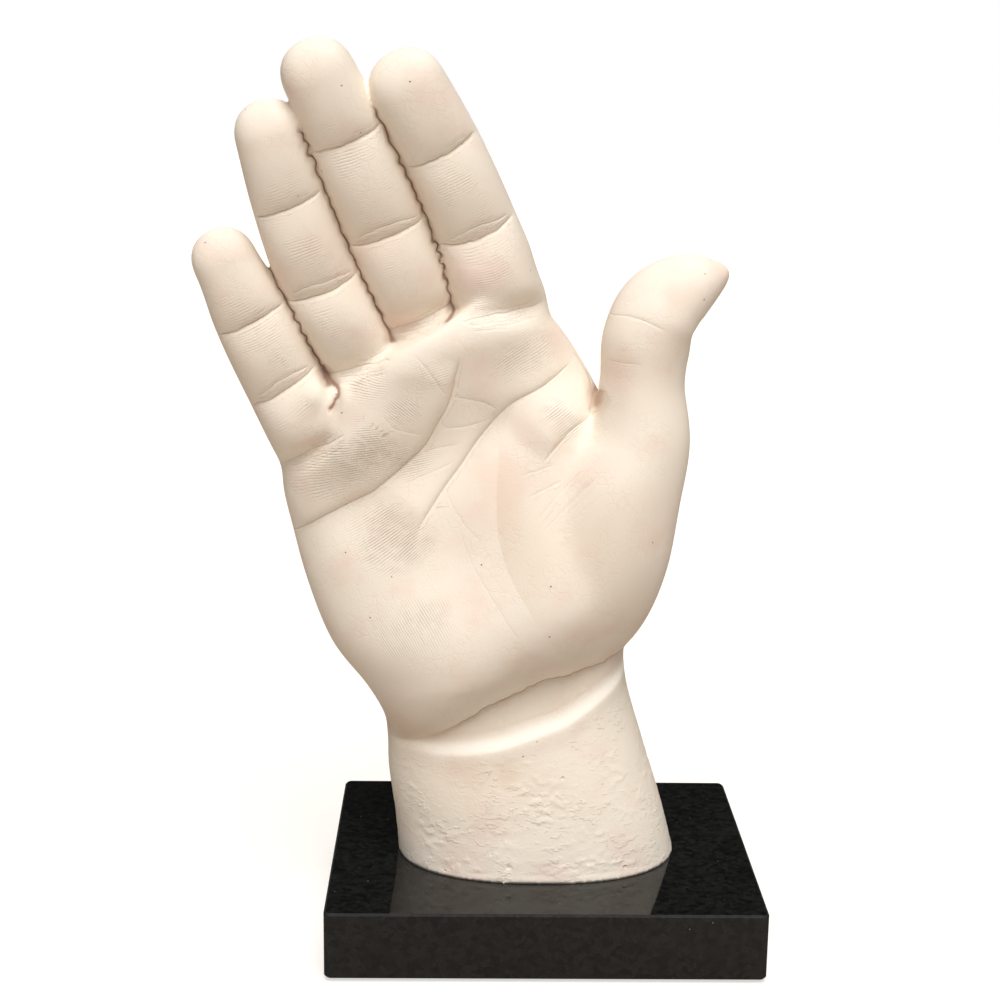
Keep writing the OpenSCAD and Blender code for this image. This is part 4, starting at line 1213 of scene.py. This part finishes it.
def anchor_resin():
    """Set polyester resin with mineral filler: dull beige, speckled by grains of about 0.6 mm, with air
    bubbles of about 1 mm."""
    m, tree, out = material("filled_resin")
    spot = node(tree, "ShaderNodeTexCoord").outputs["Object"]
    grains = node(tree, "ShaderNodeTexNoise", Vector=spot, Scale=METRE / 0.6, Detail=3.0)
    tone = node(tree, "ShaderNodeMix", COLOURS, in0=grains.outputs[0], in6=linear("#d6c69f"),
                in7=linear("#b09a72"))
    bubbles = node(tree, "ShaderNodeTexVoronoi", Vector=spot, Scale=METRE / 4)
    bubble = node(tree, "ShaderNodeMapRange", Value=bubbles.outputs["Distance"], From_Min=0.05, From_Max=0.13,
                  To_Min=-0.5, To_Max=0.0)
    high = node(tree, "ShaderNodeMath", MULTIPLY_ADD, in0=grains.outputs[0], in1=0.05, in2=bubble)
    bump = node(tree, "ShaderNodeBump", Height=high, Distance=MM, Strength=1.0)
    dull = node(tree, "ShaderNodeMapRange", Value=grains.outputs[0], To_Min=0.4, To_Max=0.6)
    shader = node(tree, "ShaderNodeBsdfPrincipled", Base_Color=tone.outputs[2], Roughness=dull, Normal=bump)
    tree.links.new(shader.outputs[0], out.inputs["Surface"])
    return m


def wool_felt():
    """Pressed wool felt, dyed dark: matted fibres that are drawn 0.5 mm thick so that they show, with a
    painted highlight that makes them lighter where they stand up, and a soft sheen."""
    m, tree, out = material("wool_felt")
    spot = node(tree, "ShaderNodeTexCoord").outputs["Object"]
    fibres = node(tree, "ShaderNodeTexNoise", Vector=spot, Scale=METRE / 0.5, Detail=4.0, Distortion=2.5)
    mats = node(tree, "ShaderNodeTexNoise", Vector=spot, Scale=METRE / 6, Detail=3.0)
    # Fibre tone that varies, lighter where the fibres stand up: a painted highlight
    tone = node(tree, "ShaderNodeMix", COLOURS, in0=fibres.outputs[0], in6=linear("#1d211c"),
                in7=linear("#363b33"))
    tone = node(tree, "ShaderNodeMix", COLOURS, in0=mats.outputs[0], in6=tone.outputs[2],
                in7=linear("#23271f"))
    bump = node(tree, "ShaderNodeBump", Height=fibres.outputs[0], Distance=0.2 * MM, Strength=1.0)
    shader = node(tree, "ShaderNodeBsdfPrincipled", Base_Color=tone.outputs[2], Roughness=0.95, Normal=bump)
    shader.inputs["Sheen Weight"].default_value = 0.25
    tree.links.new(shader.outputs[0], out.inputs["Surface"])
    return m


def lay_felt():
    """The felt under the plinth: a rectangle with round corners, carried inwards as rings over its top, down
    its fuzzy edge and back over its underside."""
    low, high = (np.array(c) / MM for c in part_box("felt_sheet"))
    reach = high[:2] - FELT_R
    turn = np.linspace(0, math.pi / 2, 9) + np.arange(4)[:, None] * math.pi / 2
    middle = np.full((1, 9), math.pi / 4) + np.arange(4)[:, None] * math.pi / 2
    x = reach[0] * np.sign(np.cos(middle)) + FELT_R * np.cos(turn)
    y = -reach[1] * np.sign(np.sin(middle)) - FELT_R * np.sin(turn)
    loop = np.stack([x.ravel(), y.ravel()], 1)
    loop = np.concatenate([loop, loop[:1]])
    along = np.concatenate([[0], np.cumsum(np.linalg.norm(np.diff(loop, axis=0), axis=1))])
    even = np.linspace(0, along[-1], FELT_ROUND, endpoint=False)
    rim = np.stack([np.interp(even, along, loop[:, k]) for k in range(2)], 1)
    inner = np.linspace(0.03, 0.985, FELT_RINGS)
    share = np.concatenate([inner, (0.994, 1.0, 0.994), inner[::-1]])
    lift = np.concatenate([np.ones(FELT_RINGS), (0.85, 0.5, 0.15), np.zeros(FELT_RINGS)])
    rings = np.zeros((len(share), len(rim), 3))
    rings[..., :2] = rim * share[:, None, None]
    rings[..., 2] = (low[2] + (high[2] - low[2]) * lift)[:, None]
    flat = rings.reshape(-1, 3)
    fuzz = 0.0015 * (1 + noise(flat, 1.5, 61)).reshape(rings.shape[:2]) * step(share, 0.98, 1.0)[:, None]
    rings[..., :2] *= 1 - fuzz[..., None]
    points, faces = closed(rings, 0)
    felt = piece("felt_pad", points, faces, wool_felt(), "felt_sheet")


def dress_solids():
    """Finishes of the solids that keep their CAD shape."""
    finishes = {
        "granite_plinth": polished_granite(),
        "anchor_rod": zinc_plated("zinc_plated_thread", ROD_PITCH),
        "rod_washer": zinc_plated("zinc_plated_washer", 0),
        "rod_nut": zinc_plated("zinc_plated_nut", 0),
        "anchor_resin": anchor_resin()}
    for name, finish in finishes.items():
        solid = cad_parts[name]
        solid.data.materials.clear()
        solid.data.materials.append(finish)


bpy.context.scene.view_settings.view_transform = "Standard"
set_camera()
set_lights()
set_floor()
make_cast()
lay_felt()
dress_solids()
